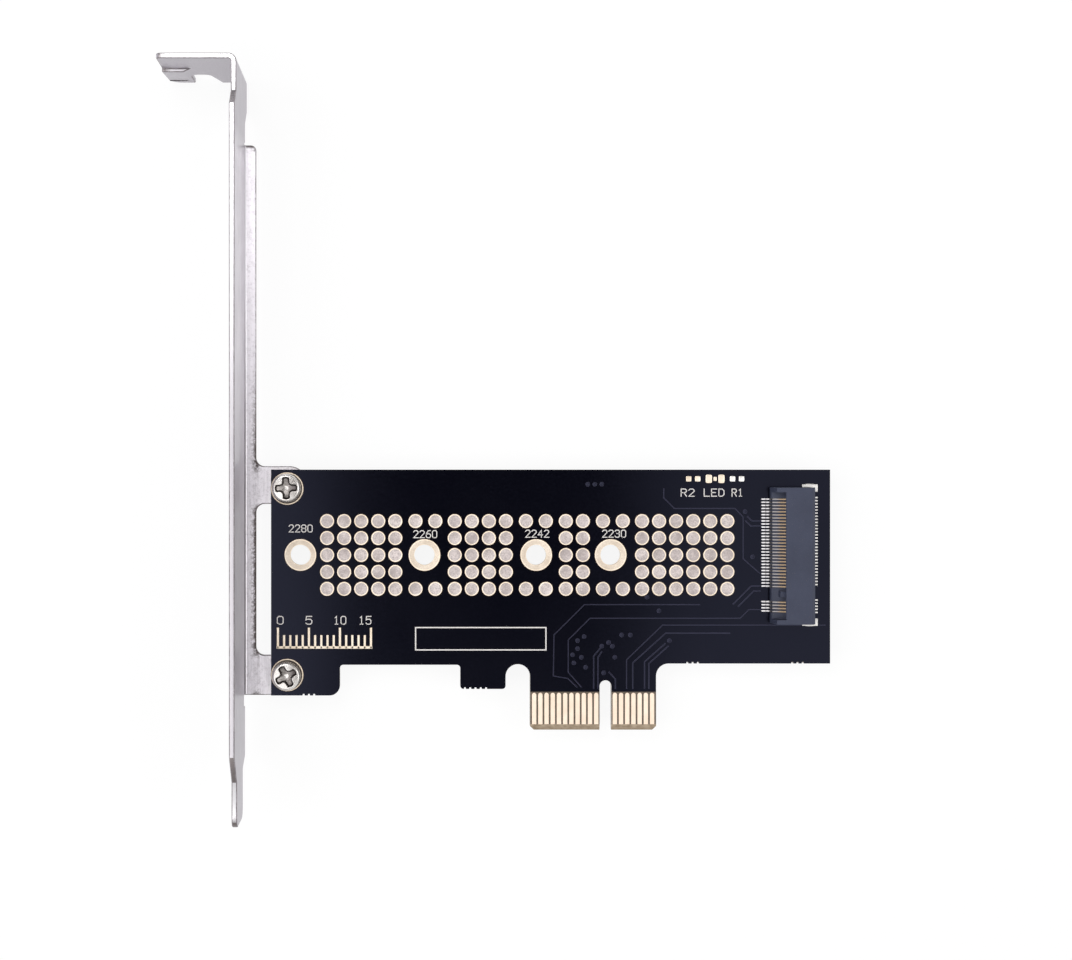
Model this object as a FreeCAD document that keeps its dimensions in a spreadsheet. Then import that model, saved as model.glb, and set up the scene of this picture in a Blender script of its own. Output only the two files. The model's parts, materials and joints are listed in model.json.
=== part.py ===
"""Adapter card that carries an M.2 drive in a PCI Express x1 slot, with its full-height slot bracket.

The card lies flat, component side up. +Z is the normal of the component side, +X runs from the
bracket to the far end of the board, and +Y runs from the edge connector to the opposite edge.
The origin is the centre of the edge connector's key notch, at the tongue's end, in the middle of
the board's thickness. Sizes are millimetres.
"""
import FreeCAD, Part
import math
import os
import re

import Sketcher

# ---------------------------------------------------------------------------------------------
# Driving dimensions, one cell of the sheet each
# ---------------------------------------------------------------------------------------------
SIZES = {
    # circuit board
    "board_thickness": 1.57,
    "board_length": 90.1,
    "board_top": 41.95,
    "key_to_far_end": 36.2,
    "lower_edge": 10.7,
    "foot_bottom": 5.55,
    "foot_corner": 1.65,
    "bay_top": 10.5,
    "bay_width": 19.4,
    "bay_corner": 0.55,
    "hook_bottom": 6.6,
    "hook_width": 7.3,
    "side_notch_width": 3.95,
    "side_notch_top": 10.6,
    "tongue_root_radius": 2.0,
    "tongue_chamfer": 0.6,
    "bevel_height": 0.93,
    "bevel_depth": 0.35,
    "key_width": 1.9,
    "key_top": 8.0,
    # half-drilled bites along the lower edges, where the panel's snap-off tabs were
    "bite_width": 0.5,
    "bite_depth": 0.26,
    "bite_pitch": 0.85,
    "foot_bites": 3,
    "foot_bites_from_left": 5.0,
    "hook_bites": 5,
    "hook_bites_from_left": 0.5,
    "far_bites": 3,
    "near_bites_from_far_end": 23.25,
    "far_bites_from_far_end": 6.35,
    # edge contacts
    "finger_pitch": 1.0,
    "finger_width": 0.7,
    "finger_top": 6.0,
    "finger_from_key": 1.5,
    "fingers_before_key": 11,
    "fingers_after_key": 7,
    "finger_margin": 0.65,
    # bare copper, as pads and plated holes
    "copper": 0.05,
    "barrel_wall": 0.1,
    # drive bay: its centre line, the stop in the socket and the four drive lengths
    "bay_line": 28.2,
    "module_stop": 30.83,
    "length_80": 80.0,
    "length_60": 60.0,
    "length_42": 42.0,
    "length_30": 30.0,
    "standoff_bore": 3.3,
    "standoff_land": 5.2,
    # heat-spreading lands under the drive
    "land_diameter": 2.35,
    "land_pitch": 2.75,
    "land_row_pitch": 2.73,
    "land_rows": 5,
    "land_beside_hole": 1.6,
    "lands_shift_60": -0.2,
    "lands_shift_42": 0.0,
    "lands_shift_30": 0.15,
    "pair_shift_60": 0.15,
    "pair_shift_42": -0.05,
    "pair_shift_30": 0.35,
    "land_clear_of_hole": 4.4,
    "land_after_last_hole": 5.05,
    "land_clear_of_stop": 9.0,
    # soldering lands of the unfitted lamp and its two resistors
    "lamp_line": 40.47,
    "lamp_x": 17.66,
    "lamp_land_pitch": 2.03,
    "lamp_land_length": 1.0,
    "lamp_land_width": 1.36,
    "resistor_offset": 3.53,
    "resistor_land_pitch": 1.45,
    "resistor_land": 0.86,
    # slot bracket, one folded sheet
    "sheet": 0.86,
    "fold_radius": 0.4,
    "plate_gap": 4.39,
    "plate_width": 18.42,
    "bracket_top": 106.3,
    "bracket_height": 120.0,
    "tail_rear_inset": 4.03,
    "tail_width": 10.19,
    "tail_corner": 1.7,
    "shoulder_front_top": 2.0,
    "shoulder_front_drop": 4.5,
    "shoulder_rear_top": 4.5,
    "shoulder_rear_drop": 1.5,
    "neck_start": 98.0,
    "neck_rise": 2.5,
    "neck_front_inset": 3.0,
    "neck_rear_reach": 3.17,
    "lip_reach": 11.6,
    "lip_front_corner": 0.8,
    "lip_rear_corner": 2.2,
    "screw_slot_from_plate": 3.1,
    "screw_slot_mouth": 4.42,
    "screw_slot_end": 2.9,
    "screw_slot_depth": 6.2,
    "screw_slot_corner": 1.3,
    # the lip's half-sheared corner, pressed towards the plate's foot and fading to the rear
    "step_length": 3.4,
    "step_ramp": 1.2,
    "step_depth": 11.2,
    "step_height": 0.6,
    "step_fade": 0.1,
    "flange_reach": 2.72,
    "flange_bottom": 5.45,
    "flange_top": 94.5,
    "flange_corner": 0.9,
    "relief_depth": 1.8,
    "relief_below": 1.88,
    "relief_above": 0.5,
    "ear_reach": 10.95,
    "ear_end_radius": 2.8,
    "ear_root_radius": 1.4,
    "upper_ear_bottom": 36.4,
    "upper_ear_width": 6.1,
    "lower_ear_width": 6.48,
    # bracket screws
    "screw_from_left": 2.6,
    "upper_screw": 38.9,
    "lower_screw": 8.85,
    "screw_off_centre": 0.09,
    "screw_hole": 2.8,
    "screw_land": 5.3,
    "shank_diameter": 2.5,
    "thread_clearance": 0.03,
    "shank_beyond_sheet": 1.0,
    "shank_end_chamfer": 0.3,
    "head_diameter": 4.65,
    "head_height": 1.75,
    "head_chamfer": 0.45,
    "cross_span": 3.4,
    "cross_wing": 0.96,
    "cross_core": 1.25,
    "cross_depth": 1.1,
    "cross_taper": 10.0,
    "upper_screw_turn": 2.0,
    "lower_screw_turn": 28.0,
    # M.2 socket, from the drive's stop
    "socket_length": 21.8,
    "socket_height": 4.2,
    "socket_rear": 2.17,
    "socket_lip_front": 4.38,
    "socket_lip_edge": 1.5,
    "socket_arm_front": 4.0,
    "socket_arm_wall": 0.75,
    "socket_jaw_front": 2.53,
    "socket_rear_chamfer": 0.5,
    "slot_floor": 2.3,
    "slot_height": 1.15,
    "slot_flat": 1.6,
    "jaw_lead_in": 0.4,
    "rib_width": 1.0,
    "rib_front": 3.3,
    "rib_from_axis": 6.125,
    "contact_pitch": 0.5,
    "contact_width": 0.22,
    "contact_sheet": 0.15,
    "contact_play": 0.04,
    "contacts_first_group": 29,
    "contacts_keyed": 4,
    "lower_contacts_last_group": 4,
    "upper_contacts_last_group": 5,
    "lower_tail": 5.68,
    "lower_riser": 4.0,
    "lower_bend": 1.25,
    "lower_tip": 0.9,
    "lower_tip_lift": 0.2,
    "comb_depth": 3.8,
    "upper_tail": 3.64,
    "upper_rise": 1.1,
    "hold_down_length": 2.5,
    "hold_down_leg": 0.7,
    "hold_down_width": 0.5,
    "hold_down_reach": 3.32,
    "hold_down_sheet": 0.3,
}

# Places worked out from the sizes, as expressions over the sheet's names and each other
PLACES = {
    "half_board": "board_thickness / 2",
    "board_left": "key_to_far_end - board_length",
    "tongue_left": "-(finger_from_key + (fingers_before_key - 1) * finger_pitch + finger_margin)",
    "tongue_right": "finger_from_key + (fingers_after_key - 1) * finger_pitch + finger_margin",
    "hook_right": "tongue_left - side_notch_width",
    "side_notch_spring": "side_notch_top - side_notch_width / 2",
    "hook_left": "hook_right - hook_width",
    "foot_right": "hook_left - bay_width",
    "bracket_outer": "board_left - plate_gap - sheet",
    "bracket_bottom": "bracket_top - bracket_height",
    "bracket_back": "-(half_board + sheet)",
    "bracket_front": "bracket_back + plate_width",
    "outer_fold": "sheet + fold_radius",
    "flange_root": "bracket_outer + outer_fold",
    "plate_rear_in_fold": "bracket_back + outer_fold",
    "tail_rear": "bracket_back + tail_rear_inset",
    "tail_front": "tail_rear + tail_width",
    "neck_front": "bracket_front - neck_front_inset",
    "neck_rear": "bracket_back - neck_rear_reach",
    "neck_end": "bracket_top - outer_fold",
    "lip_root": "bracket_outer - fold_radius",
    "lip_end": "bracket_outer - lip_reach",
    "screw_slot_inner": "bracket_outer - screw_slot_from_plate",
    "screw_slot_outer": "screw_slot_inner - screw_slot_mouth",
    "flange_edge": "bracket_outer + flange_reach",
    "ear_end": "bracket_outer + ear_reach",
    "screw_x": "board_left + screw_from_left",
    # the screws stand a little off their holes' centres, towards the bracket and apart
    "thread_x": "screw_x - screw_off_centre",
    "upper_thread": "upper_screw + screw_off_centre",
    "lower_thread": "lower_screw - screw_off_centre",
    "socket_land_x": "module_stop - length_30 + land_after_last_hole",
    "land_rise": "(land_rows - 1) * land_row_pitch",
    "socket_half": "socket_length / 2",
    "slot_ceiling": "slot_floor + slot_height",
    "contact_slot": "contact_width + 2 * contact_play",
    "lower_row_end": "(contacts_first_group + contacts_keyed + lower_contacts_last_group - 1)"
                     " * contact_pitch / 2",
    "upper_row_end": "(contacts_first_group + contacts_keyed + upper_contacts_last_group - 1)"
                     " * contact_pitch / 2",
    "past_key": "(contacts_first_group + contacts_keyed) * contact_pitch",
}

DRIVES = ("80", "60", "42", "30")
SCREW_HEIGHTS = ("upper_screw", "lower_screw")
THREAD_HEIGHTS = ("upper_thread", "lower_thread")
# Round copper is many-sided, to stay light: the lands, and the outside of each plated hole
LAND_SIDES = 8
EYELET_SIDES = 16


def expand(text):
    """Expression over the sheet's cells, from one over the names of sizes and places."""
    def resolve(match):
        word = match.group()
        if word in PLACES:
            return "(" + expand(PLACES[word]) + ")"
        return "Sizes." + word if word in SIZES else word
    return re.sub(r"[A-Za-z_][A-Za-z0-9_]*", resolve, str(text))


def value(text):
    """Number that an expression gives with the sheet's present sizes."""
    return float(sheet.evalExpression(expand(text)))


def bind(thing, prop, text):
    """Tie one property of an object to an expression over the sheet."""
    thing.setExpression(prop, expand(text))


def fill_sheet():
    """Write every size into the sheet, as plain numbers with an alias each."""
    table = doc.addObject("Spreadsheet::Sheet", "Sizes")
    for row, (alias, number) in enumerate(SIZES.items(), start=1):
        table.set("A%d" % row, alias)
        table.set("B%d" % row, str(number))
        table.setAlias("B%d" % row, alias)
    return table


# ---------------------------------------------------------------------------------------------
# Helpers for bodies, sketches and features
# ---------------------------------------------------------------------------------------------
def new_body(label, x="0", y="0", z="0", turn=None):
    """Body named label, standing at an expression for each coordinate and turned about Z."""
    body = doc.addObject("PartDesign::Body", label)
    body.Label = label
    for axis, place in zip("xyz", (x, y, z)):
        bind(body, "Placement.Base." + axis, place)
    if turn is not None:
        bind(body, "Placement.Rotation.Angle", turn)
    return body


def origin_feature(body, role):
    """Plane or axis of the body's own origin, such as XY_Plane or X_Axis."""
    return next(item for item in body.Origin.OriginFeatures if item.Role == role)


def new_sketch(body, plane, offset="0"):
    """Sketch on a plane of the body's origin, moved along the plane's normal by offset.

    On XY the normal is +Z, on YZ it is +X, and on XZ it is -Y.
    """
    sketch = body.newObject("Sketcher::SketchObject", "Sketch")
    sketch.AttachmentSupport = [(origin_feature(body, plane + "_Plane"), "")]
    sketch.MapMode = "FlatFace"
    bind(sketch, "AttachmentOffset.Base.z", offset)
    return sketch


def point(x, y):
    return FreeCAD.Vector(x, y, 0)


def pin_point(sketch, constraints, geometry, vertex, x, y):
    """Hold a vertex at its distances from the sketch's origin, and return their expressions."""
    bound = []
    for kind, text in (("DistanceX", x), ("DistanceY", y)):
        bound.append((len(constraints), text))
        constraints.append(Sketcher.Constraint(kind, -1, 1, geometry, vertex, value(text)))
    return bound


def draw_outline(sketch, corners):
    """Closed outline through corners of (x, y) or (x, y, radius), each an expression.

    A corner with a radius is rounded by an arc tangent to both of its sides, and the corner
    itself stays in the sketch as a construction point.
    """
    count = len(corners)
    apex = [point(value(c[0]), value(c[1])) for c in corners]
    enter, leave, arcs = list(apex), list(apex), {}
    for i, corner in enumerate(corners):
        if len(corner) < 3:
            continue
        radius = value(corner[2])
        back = (apex[i - 1] - apex[i]).normalize()
        ahead = (apex[(i + 1) % count] - apex[i]).normalize()
        half = back.getAngle(ahead) / 2
        enter[i] = apex[i] + back * (radius / math.tan(half))
        leave[i] = apex[i] + ahead * (radius / math.tan(half))
        centre = apex[i] + (back + ahead).normalize() * (radius / math.sin(half))
        left_turn = back.cross(ahead).z < 0
        first, last = (enter[i], leave[i]) if left_turn else (leave[i], enter[i])
        start = math.atan2(first.y - centre.y, first.x - centre.x)
        end = math.atan2(last.y - centre.y, last.x - centre.x)
        end += 2 * math.pi if end < start else 0
        circle = Part.Circle(centre, FreeCAD.Vector(0, 0, 1), radius)
        arcs[i] = (Part.ArcOfCircle(circle, start, end), left_turn)

    offset = sketch.GeometryCount
    for i in range(count):
        sketch.addGeometry(Part.LineSegment(leave[i], enter[(i + 1) % count]))
    constraints, bound = [], []
    for i, corner in enumerate(corners):
        before, after = offset + (i - 1) % count, offset + i
        if i not in arcs:
            constraints.append(Sketcher.Constraint("Coincident", before, 2, after, 1))
            bound += pin_point(sketch, constraints, after, 1, corner[0], corner[1])
            continue
        arc, left_turn = arcs[i]
        arc_id = sketch.addGeometry(arc)
        apex_id = sketch.addGeometry(Part.Point(apex[i]), True)
        arc_start, arc_end = (1, 2) if left_turn else (2, 1)
        constraints.append(Sketcher.Constraint("Tangent", before, 2, arc_id, arc_start))
        constraints.append(Sketcher.Constraint("Tangent", arc_id, arc_end, after, 1))
        constraints.append(Sketcher.Constraint("PointOnObject", apex_id, 1, before))
        constraints.append(Sketcher.Constraint("PointOnObject", apex_id, 1, after))
        bound.append((len(constraints), corner[2]))
        constraints.append(Sketcher.Constraint("Radius", arc_id, value(corner[2])))
        bound += pin_point(sketch, constraints, apex_id, 1, corner[0], corner[1])
    add_bound(sketch, constraints, bound)
    return sketch


def draw_rectangle(sketch, left, bottom, right, top):
    return draw_outline(sketch, [(left, bottom), (right, bottom), (right, top), (left, top)])


def draw_polygon(sketch, x, y, radius, sides):
    """Regular polygon with its corners on a circle."""
    corners = []
    for step in range(sides):
        turn = "(360 * %.1f / %d)" % (step + 0.5, sides)
        corners.append(("%s + (%s) * cos(%s)" % (x, radius, turn), "%s + (%s) * sin(%s)" % (y, radius, turn)))
    return draw_outline(sketch, corners)


def draw_circle(sketch, x, y, radius):
    """Circle of an expression's radius about an expression's centre."""
    circle = Part.Circle(point(value(x), value(y)), FreeCAD.Vector(0, 0, 1), value(radius))
    circle_id = sketch.addGeometry(circle)
    constraints = []
    bound = pin_point(sketch, constraints, circle_id, 3, x, y)
    bound.append((len(constraints), radius))
    constraints.append(Sketcher.Constraint("Radius", circle_id, value(radius)))
    add_bound(sketch, constraints, bound)
    return sketch


def draw_round_slot(sketch, x, bottom, top, width):
    """Upright slot about x with an open, square bottom and a half-round top."""
    radius = "(%s) / 2" % width
    left, right = "%s - %s" % (x, radius), "%s + %s" % (x, radius)
    crown = point(value(x), value(top) - value(radius))
    circle = Part.Circle(crown, FreeCAD.Vector(0, 0, 1), value(radius))
    arc = sketch.addGeometry(Part.ArcOfCircle(circle, 0, math.pi))
    low, high = value(bottom), crown.y
    stops = [point(value(left), high), point(value(left), low), point(value(right), low),
             point(value(right), high)]
    for start, end in zip(stops, stops[1:]):
        sketch.addGeometry(Part.LineSegment(start, end))
    down, floor, up = arc + 1, arc + 2, arc + 3
    constraints = [
        Sketcher.Constraint("Tangent", arc, 2, down, 1),
        Sketcher.Constraint("Coincident", down, 2, floor, 1),
        Sketcher.Constraint("Coincident", floor, 2, up, 1),
        Sketcher.Constraint("Tangent", up, 2, arc, 1),
        Sketcher.Constraint("Horizontal", floor),
        Sketcher.Constraint("Vertical", down),
        Sketcher.Constraint("Vertical", up),
    ]
    bound = [(len(constraints), bottom)]
    constraints.append(Sketcher.Constraint("DistanceY", -1, 1, floor, 1, low))
    bound += pin_point(sketch, constraints, arc, 3, x, "%s - %s" % (top, radius))
    bound.append((len(constraints), radius))
    constraints.append(Sketcher.Constraint("Radius", arc, value(radius)))
    add_bound(sketch, constraints, bound)
    return sketch


def add_bound(sketch, constraints, bound):
    """Add constraints to the sketch and tie the listed ones to their expressions."""
    first = sketch.ConstraintCount
    sketch.addConstraint(constraints)
    for index, text in bound:
        bind(sketch, "Constraints[%d]" % (first + index), text)


def add_pad(body, sketch, length, symmetric=False, reverse=False):
    """Pad of the sketch, along its normal unless reverse, or half to each side."""
    feature = body.newObject("PartDesign::Pad", "Pad")
    feature.Profile = sketch
    feature.SideType = "Symmetric" if symmetric else "One side"
    feature.Reversed = reverse
    bind(feature, "Length", length)
    doc.recompute()
    return feature


def add_pocket(body, sketch, length=None, symmetric=False, reverse=False, taper=None):
    """Pocket of the sketch, against its normal unless reverse, or right through both ways."""
    feature = body.newObject("PartDesign::Pocket", "Pocket")
    feature.Profile = sketch
    feature.Reversed = reverse
    if length is None:
        feature.SideType = "Symmetric"
        feature.Type = "ThroughAll"
    else:
        feature.SideType = "Symmetric" if symmetric else "One side"
        bind(feature, "Length", length)
    if taper is not None:
        bind(feature, "TaperAngle", taper)
    before = body.Shape.Volume
    doc.recompute()
    if body.Shape.Volume > before - 1e-4:
        raise RuntimeError("a pocket of %s cuts nothing" % body.Label)
    return feature


def add_revolution(body, sketch):
    """Full turn of the sketch about the sketch's own vertical axis."""
    feature = body.newObject("PartDesign::Revolution", "Revolution")
    feature.Profile = sketch
    feature.ReferenceAxis = (sketch, ["V_Axis"])
    feature.Angle = 360
    doc.recompute()
    return feature


def add_loft(body, sections, grow):
    """Straight-sided loft through the sections, added if it is to grow the body, or else cut away."""
    feature = body.newObject("PartDesign::AdditiveLoft" if grow else "PartDesign::SubtractiveLoft", "Loft")
    feature.Profile = sections[0]
    feature.Sections = sections[1:]
    feature.Ruled = True
    doc.recompute()
    return feature


def add_row(body, feature, axis, count, pitch, reverse=False, second=None):
    """Pattern of a feature along an axis at a pitch, and over a length of a second axis if given."""
    row = body.newObject("PartDesign::LinearPattern", "Row")
    row.Originals = [feature]
    row.Direction = (origin_feature(body, axis + "_Axis"), [""])
    row.Reversed = reverse
    row.Mode = "Spacing"
    bind(row, "Offset", pitch)
    bind(row, "Occurrences", count)
    if second is not None:
        second_axis, second_count, extent = second
        row.Direction2 = (origin_feature(body, second_axis + "_Axis"), [""])
        row.Mode2 = "Extent"
        bind(row, "Length2", extent)
        bind(row, "Occurrences2", second_count)
    body.Tip = row
    doc.recompute()
    return row


def add_group(label, bodies):
    """Compound of separate solids that make one sub-part."""
    group = doc.addObject("Part::Compound", label)
    group.Label = label
    group.Links = bodies
    doc.recompute()
    return group


# ---------------------------------------------------------------------------------------------
# Circuit board and its copper
# ---------------------------------------------------------------------------------------------
def add_bites(board, start, edge, count):
    """Row of small bites into a lower edge of the board."""
    sketch = new_sketch(board, "XY")
    draw_outline(sketch, [
        (start, "%s - bite_depth" % edge),
        ("%s + bite_width" % start, "%s - bite_depth" % edge),
        ("%s + 0.75 * bite_width" % start, "%s + bite_depth" % edge),
        ("%s + 0.25 * bite_width" % start, "%s + bite_depth" % edge),
    ])
    add_row(board, add_pocket(board, sketch), "X", count, "bite_pitch")


def make_board():
    """Board outline with the x1 tongue, its bevelled edge, the hook, the foot and every hole."""
    board = new_body("circuit_board")
    outline = draw_outline(new_sketch(board, "XY"), [
        ("board_left", "foot_bottom"),
        ("foot_right", "foot_bottom", "foot_corner"),
        ("foot_right", "bay_top", "bay_corner"),
        ("hook_left", "bay_top", "bay_corner"),
        ("hook_left", "hook_bottom", "bay_corner"),
        ("hook_right", "hook_bottom", "bay_corner"),
        ("hook_right", "side_notch_spring"),
        ("tongue_left", "side_notch_spring"),
        ("tongue_left", "tongue_chamfer"),
        ("tongue_left + tongue_chamfer", "0"),
        ("tongue_right - tongue_chamfer", "0"),
        ("tongue_right", "tongue_chamfer"),
        ("tongue_right", "lower_edge", "tongue_root_radius"),
        ("key_to_far_end", "lower_edge"),
        ("key_to_far_end", "board_top"),
        ("board_left", "board_top"),
    ])
    add_pad(board, outline, "board_thickness", symmetric=True)

    notches = new_sketch(board, "XY")
    draw_round_slot(notches, "tongue_left - side_notch_width / 2", "hook_bottom + bay_corner",
                    "side_notch_top", "side_notch_width")
    draw_round_slot(notches, "0", "-tongue_chamfer", "key_top", "key_width")
    add_pocket(board, notches)

    for side in ("", "-"):
        bevel = draw_outline(new_sketch(board, "YZ"), [
            ("bevel_height", side + "half_board"),
            ("0", side + "(half_board - bevel_depth)"),
            ("0", side + "half_board"),
        ])
        add_pocket(board, bevel)

    holes = new_sketch(board, "XY")
    for drive in DRIVES:
        draw_polygon(holes, "module_stop - length_" + drive, "bay_line", "standoff_bore / 2 + barrel_wall",
                     EYELET_SIDES)
    for height in SCREW_HEIGHTS:
        draw_polygon(holes, "screw_x", height, "screw_hole / 2 + barrel_wall", EYELET_SIDES)
    add_pocket(board, holes)

    add_bites(board, "board_left + foot_bites_from_left", "foot_bottom", "foot_bites")
    add_bites(board, "hook_left + hook_bites_from_left", "hook_bottom", "hook_bites")
    add_bites(board, "key_to_far_end - near_bites_from_far_end", "lower_edge", "far_bites")
    add_bites(board, "key_to_far_end - far_bites_from_far_end", "lower_edge", "far_bites")
    return board


def make_fingers(label, face):
    """Gold contacts of one side of the tongue, on either side of the key notch."""
    fingers = new_body(label)
    for first, count, reverse in (("-finger_from_key", "fingers_before_key", True),
                                  ("finger_from_key", "fingers_after_key", False)):
        left, right = "%s - finger_width / 2" % first, "%s + finger_width / 2" % first
        finger = draw_rectangle(new_sketch(fingers, "XY", face), left, "bevel_height", right, "finger_top")
        pad = add_pad(fingers, finger, "copper", reverse=face.startswith("-"))
        add_row(fingers, pad, "X", count, "finger_pitch", reverse)
    return fingers


def make_land_field(name, first_x, columns, column_pitch, rows):
    """Rectangular field of round lands, its outer rows level with those of every other field."""
    field = new_body(name)
    sketch = draw_polygon(new_sketch(field, "XY", "half_board"), first_x,
                          "bay_line - land_rise / 2", "land_diameter / 2", LAND_SIDES)
    add_row(field, add_pad(field, sketch, "copper"), "X", columns, column_pitch,
            second=("Y", rows, "land_rise"))
    return field


def make_lands():
    """Heat-spreading lands under the drive: full fields between the holes, pairs beside them."""
    fields = []
    for longer, shorter in zip(DRIVES, DRIVES[1:]):
        room = "(length_%s - length_%s - 2 * land_clear_of_hole)" % (longer, shorter)
        columns = "(max(0; floor(%s / land_pitch)) + 1)" % room
        middle = "module_stop - (length_%s + length_%s) / 2" % (longer, shorter)
        first = "%s + lands_shift_%s - (%s - 1) * land_pitch / 2" % (middle, shorter, columns)
        fields.append(make_land_field("lands_before_" + shorter, first, columns, "land_pitch", "land_rows"))
    room = "(length_30 - land_after_last_hole - land_clear_of_stop)"
    columns = "(max(0; floor(%s / land_pitch)) + 1)" % room
    fields.append(make_land_field("lands_before_socket", "socket_land_x", columns, "land_pitch", "land_rows"))
    for drive in DRIVES[1:]:
        first = "module_stop - length_%s + pair_shift_%s - land_beside_hole" % (drive, drive)
        fields.append(make_land_field("lands_beside_" + drive, first, "2", "2 * land_beside_hole", "2"))
    return add_group("thermal_lands", fields)


def make_eyelet(label, x, y, bore, land, both_sides):
    """Plated hole: a barrel with a flat ring on the component side, and on the back if asked."""
    eyelet = new_body(label, x, y)
    faces = ("half_board", "-half_board") if both_sides else ("half_board",)
    for face in faces:
        ring = draw_polygon(new_sketch(eyelet, "XY", face), "0", "0", "%s / 2" % land, EYELET_SIDES)
        add_pad(eyelet, ring, "copper", reverse=face.startswith("-"))
    barrel = draw_polygon(new_sketch(eyelet, "XY"), "0", "0", "%s / 2 + barrel_wall" % bore, EYELET_SIDES)
    add_pad(eyelet, barrel, "board_thickness", symmetric=True)
    add_pocket(eyelet, draw_circle(new_sketch(eyelet, "XY"), "0", "0", "%s / 2" % bore))
    return eyelet


def make_small_lands(label, x, pitch, length, width):
    """Pair of bare soldering lands for one small component."""
    lands = new_body(label, x, "lamp_line", "half_board")
    left = "-(%s) / 2" % pitch
    sketch = draw_rectangle(new_sketch(lands, "XY"), "%s - %s / 2" % (left, length), "-%s / 2" % width,
                            "%s + %s / 2" % (left, length), "%s / 2" % width)
    add_row(lands, add_pad(lands, sketch, "copper"), "X", "2", pitch)
    return lands


# ---------------------------------------------------------------------------------------------
# Slot bracket and its screws
# ---------------------------------------------------------------------------------------------
def make_bracket():
    """Blank slot bracket folded from one sheet: plate, tail, screw lip, flange and two ears."""
    bracket = new_body("slot_bracket")
    plate = draw_outline(new_sketch(bracket, "YZ", "bracket_outer"), [
        ("bracket_bottom", "tail_rear", "tail_corner"),
        ("-shoulder_rear_top - shoulder_rear_drop", "tail_rear"),
        ("-shoulder_rear_top", "bracket_back"),
        ("flange_bottom - relief_below", "bracket_back"),
        ("flange_bottom - relief_below", "bracket_back + relief_depth"),
        ("flange_bottom", "bracket_back + relief_depth"),
        ("flange_bottom", "plate_rear_in_fold"),
        ("flange_top + relief_above", "plate_rear_in_fold"),
        ("flange_top + relief_above", "bracket_back"),
        ("neck_start", "bracket_back"),
        ("neck_start + neck_rise", "neck_rear"),
        ("neck_end", "neck_rear"),
        ("neck_end", "neck_front"),
        ("neck_start + neck_rise", "neck_front"),
        ("neck_start", "bracket_front"),
        ("-shoulder_front_top", "bracket_front"),
        ("-shoulder_front_top - shoulder_front_drop", "tail_front"),
        ("bracket_bottom", "tail_front", "tail_corner"),
    ])
    add_pad(bracket, plate, "sheet")

    lip_fold = draw_outline(new_sketch(bracket, "XY", "neck_rear"), [
        ("bracket_outer", "neck_end - fold_radius"),
        ("bracket_outer + sheet", "neck_end - fold_radius"),
        ("bracket_outer + sheet", "bracket_top", "outer_fold"),
        ("lip_root - fold_radius", "bracket_top"),
        ("lip_root - fold_radius", "bracket_top - sheet"),
        ("bracket_outer", "bracket_top - sheet", "fold_radius"),
    ])
    add_pad(bracket, lip_fold, "neck_front - neck_rear")
    lip = draw_outline(new_sketch(bracket, "XZ", "-bracket_top"), [
        ("lip_root", "neck_front"),
        ("lip_end", "neck_front", "lip_front_corner"),
        ("lip_end", "neck_rear", "lip_rear_corner"),
        ("screw_slot_outer", "neck_rear"),
        ("screw_slot_outer", "neck_rear + screw_slot_depth", "screw_slot_corner"),
        ("screw_slot_outer + screw_slot_end", "neck_rear + screw_slot_depth", "screw_slot_corner"),
        ("screw_slot_inner", "neck_rear"),
        ("lip_root", "neck_rear"),
    ])
    add_pad(bracket, lip, "sheet")
    for face, grow in (("bracket_top - sheet", True), ("bracket_top", False)):
        sections = []
        for height, share in (("neck_rear + step_depth", "1"), ("neck_rear + lip_rear_corner", "step_fade")):
            sections.append(draw_outline(new_sketch(bracket, "XY", height), [
                ("lip_end", face),
                ("lip_end", "%s - %s * step_height" % (face, share)),
                ("lip_end + step_length", "%s - %s * step_height" % (face, share)),
                ("lip_end + step_length + %s * step_ramp" % share, face),
            ]))
        add_loft(bracket, sections, grow)

    flange_fold = draw_outline(new_sketch(bracket, "XZ", "-flange_top"), [
        ("bracket_outer", "plate_rear_in_fold + fold_radius"),
        ("bracket_outer", "bracket_back", "outer_fold"),
        ("flange_root + fold_radius", "bracket_back"),
        ("flange_root + fold_radius", "bracket_back + sheet"),
        ("bracket_outer + sheet", "bracket_back + sheet", "fold_radius"),
        ("bracket_outer + sheet", "plate_rear_in_fold + fold_radius"),
    ])
    add_pad(bracket, flange_fold, "flange_top - flange_bottom")
    flange = draw_outline(new_sketch(bracket, "XY", "bracket_back"), [
        ("flange_root", "flange_bottom"),
        ("ear_end", "flange_bottom", "ear_end_radius"),
        ("ear_end", "flange_bottom + lower_ear_width", "ear_end_radius"),
        ("flange_edge", "flange_bottom + lower_ear_width", "ear_root_radius"),
        ("flange_edge", "upper_ear_bottom", "ear_root_radius"),
        ("ear_end", "upper_ear_bottom", "ear_end_radius"),
        ("ear_end", "upper_ear_bottom + upper_ear_width", "ear_end_radius"),
        ("flange_edge", "upper_ear_bottom + upper_ear_width", "ear_root_radius"),
        ("flange_edge", "flange_top", "flange_corner"),
        ("flange_root", "flange_top"),
    ])
    add_pad(bracket, flange, "sheet")
    threads = new_sketch(bracket, "XY", "bracket_back + sheet")
    for height in THREAD_HEIGHTS:
        draw_circle(threads, "thread_x", height, "shank_diameter / 2 + thread_clearance")
    add_pocket(bracket, threads, "sheet")
    return bracket


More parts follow.
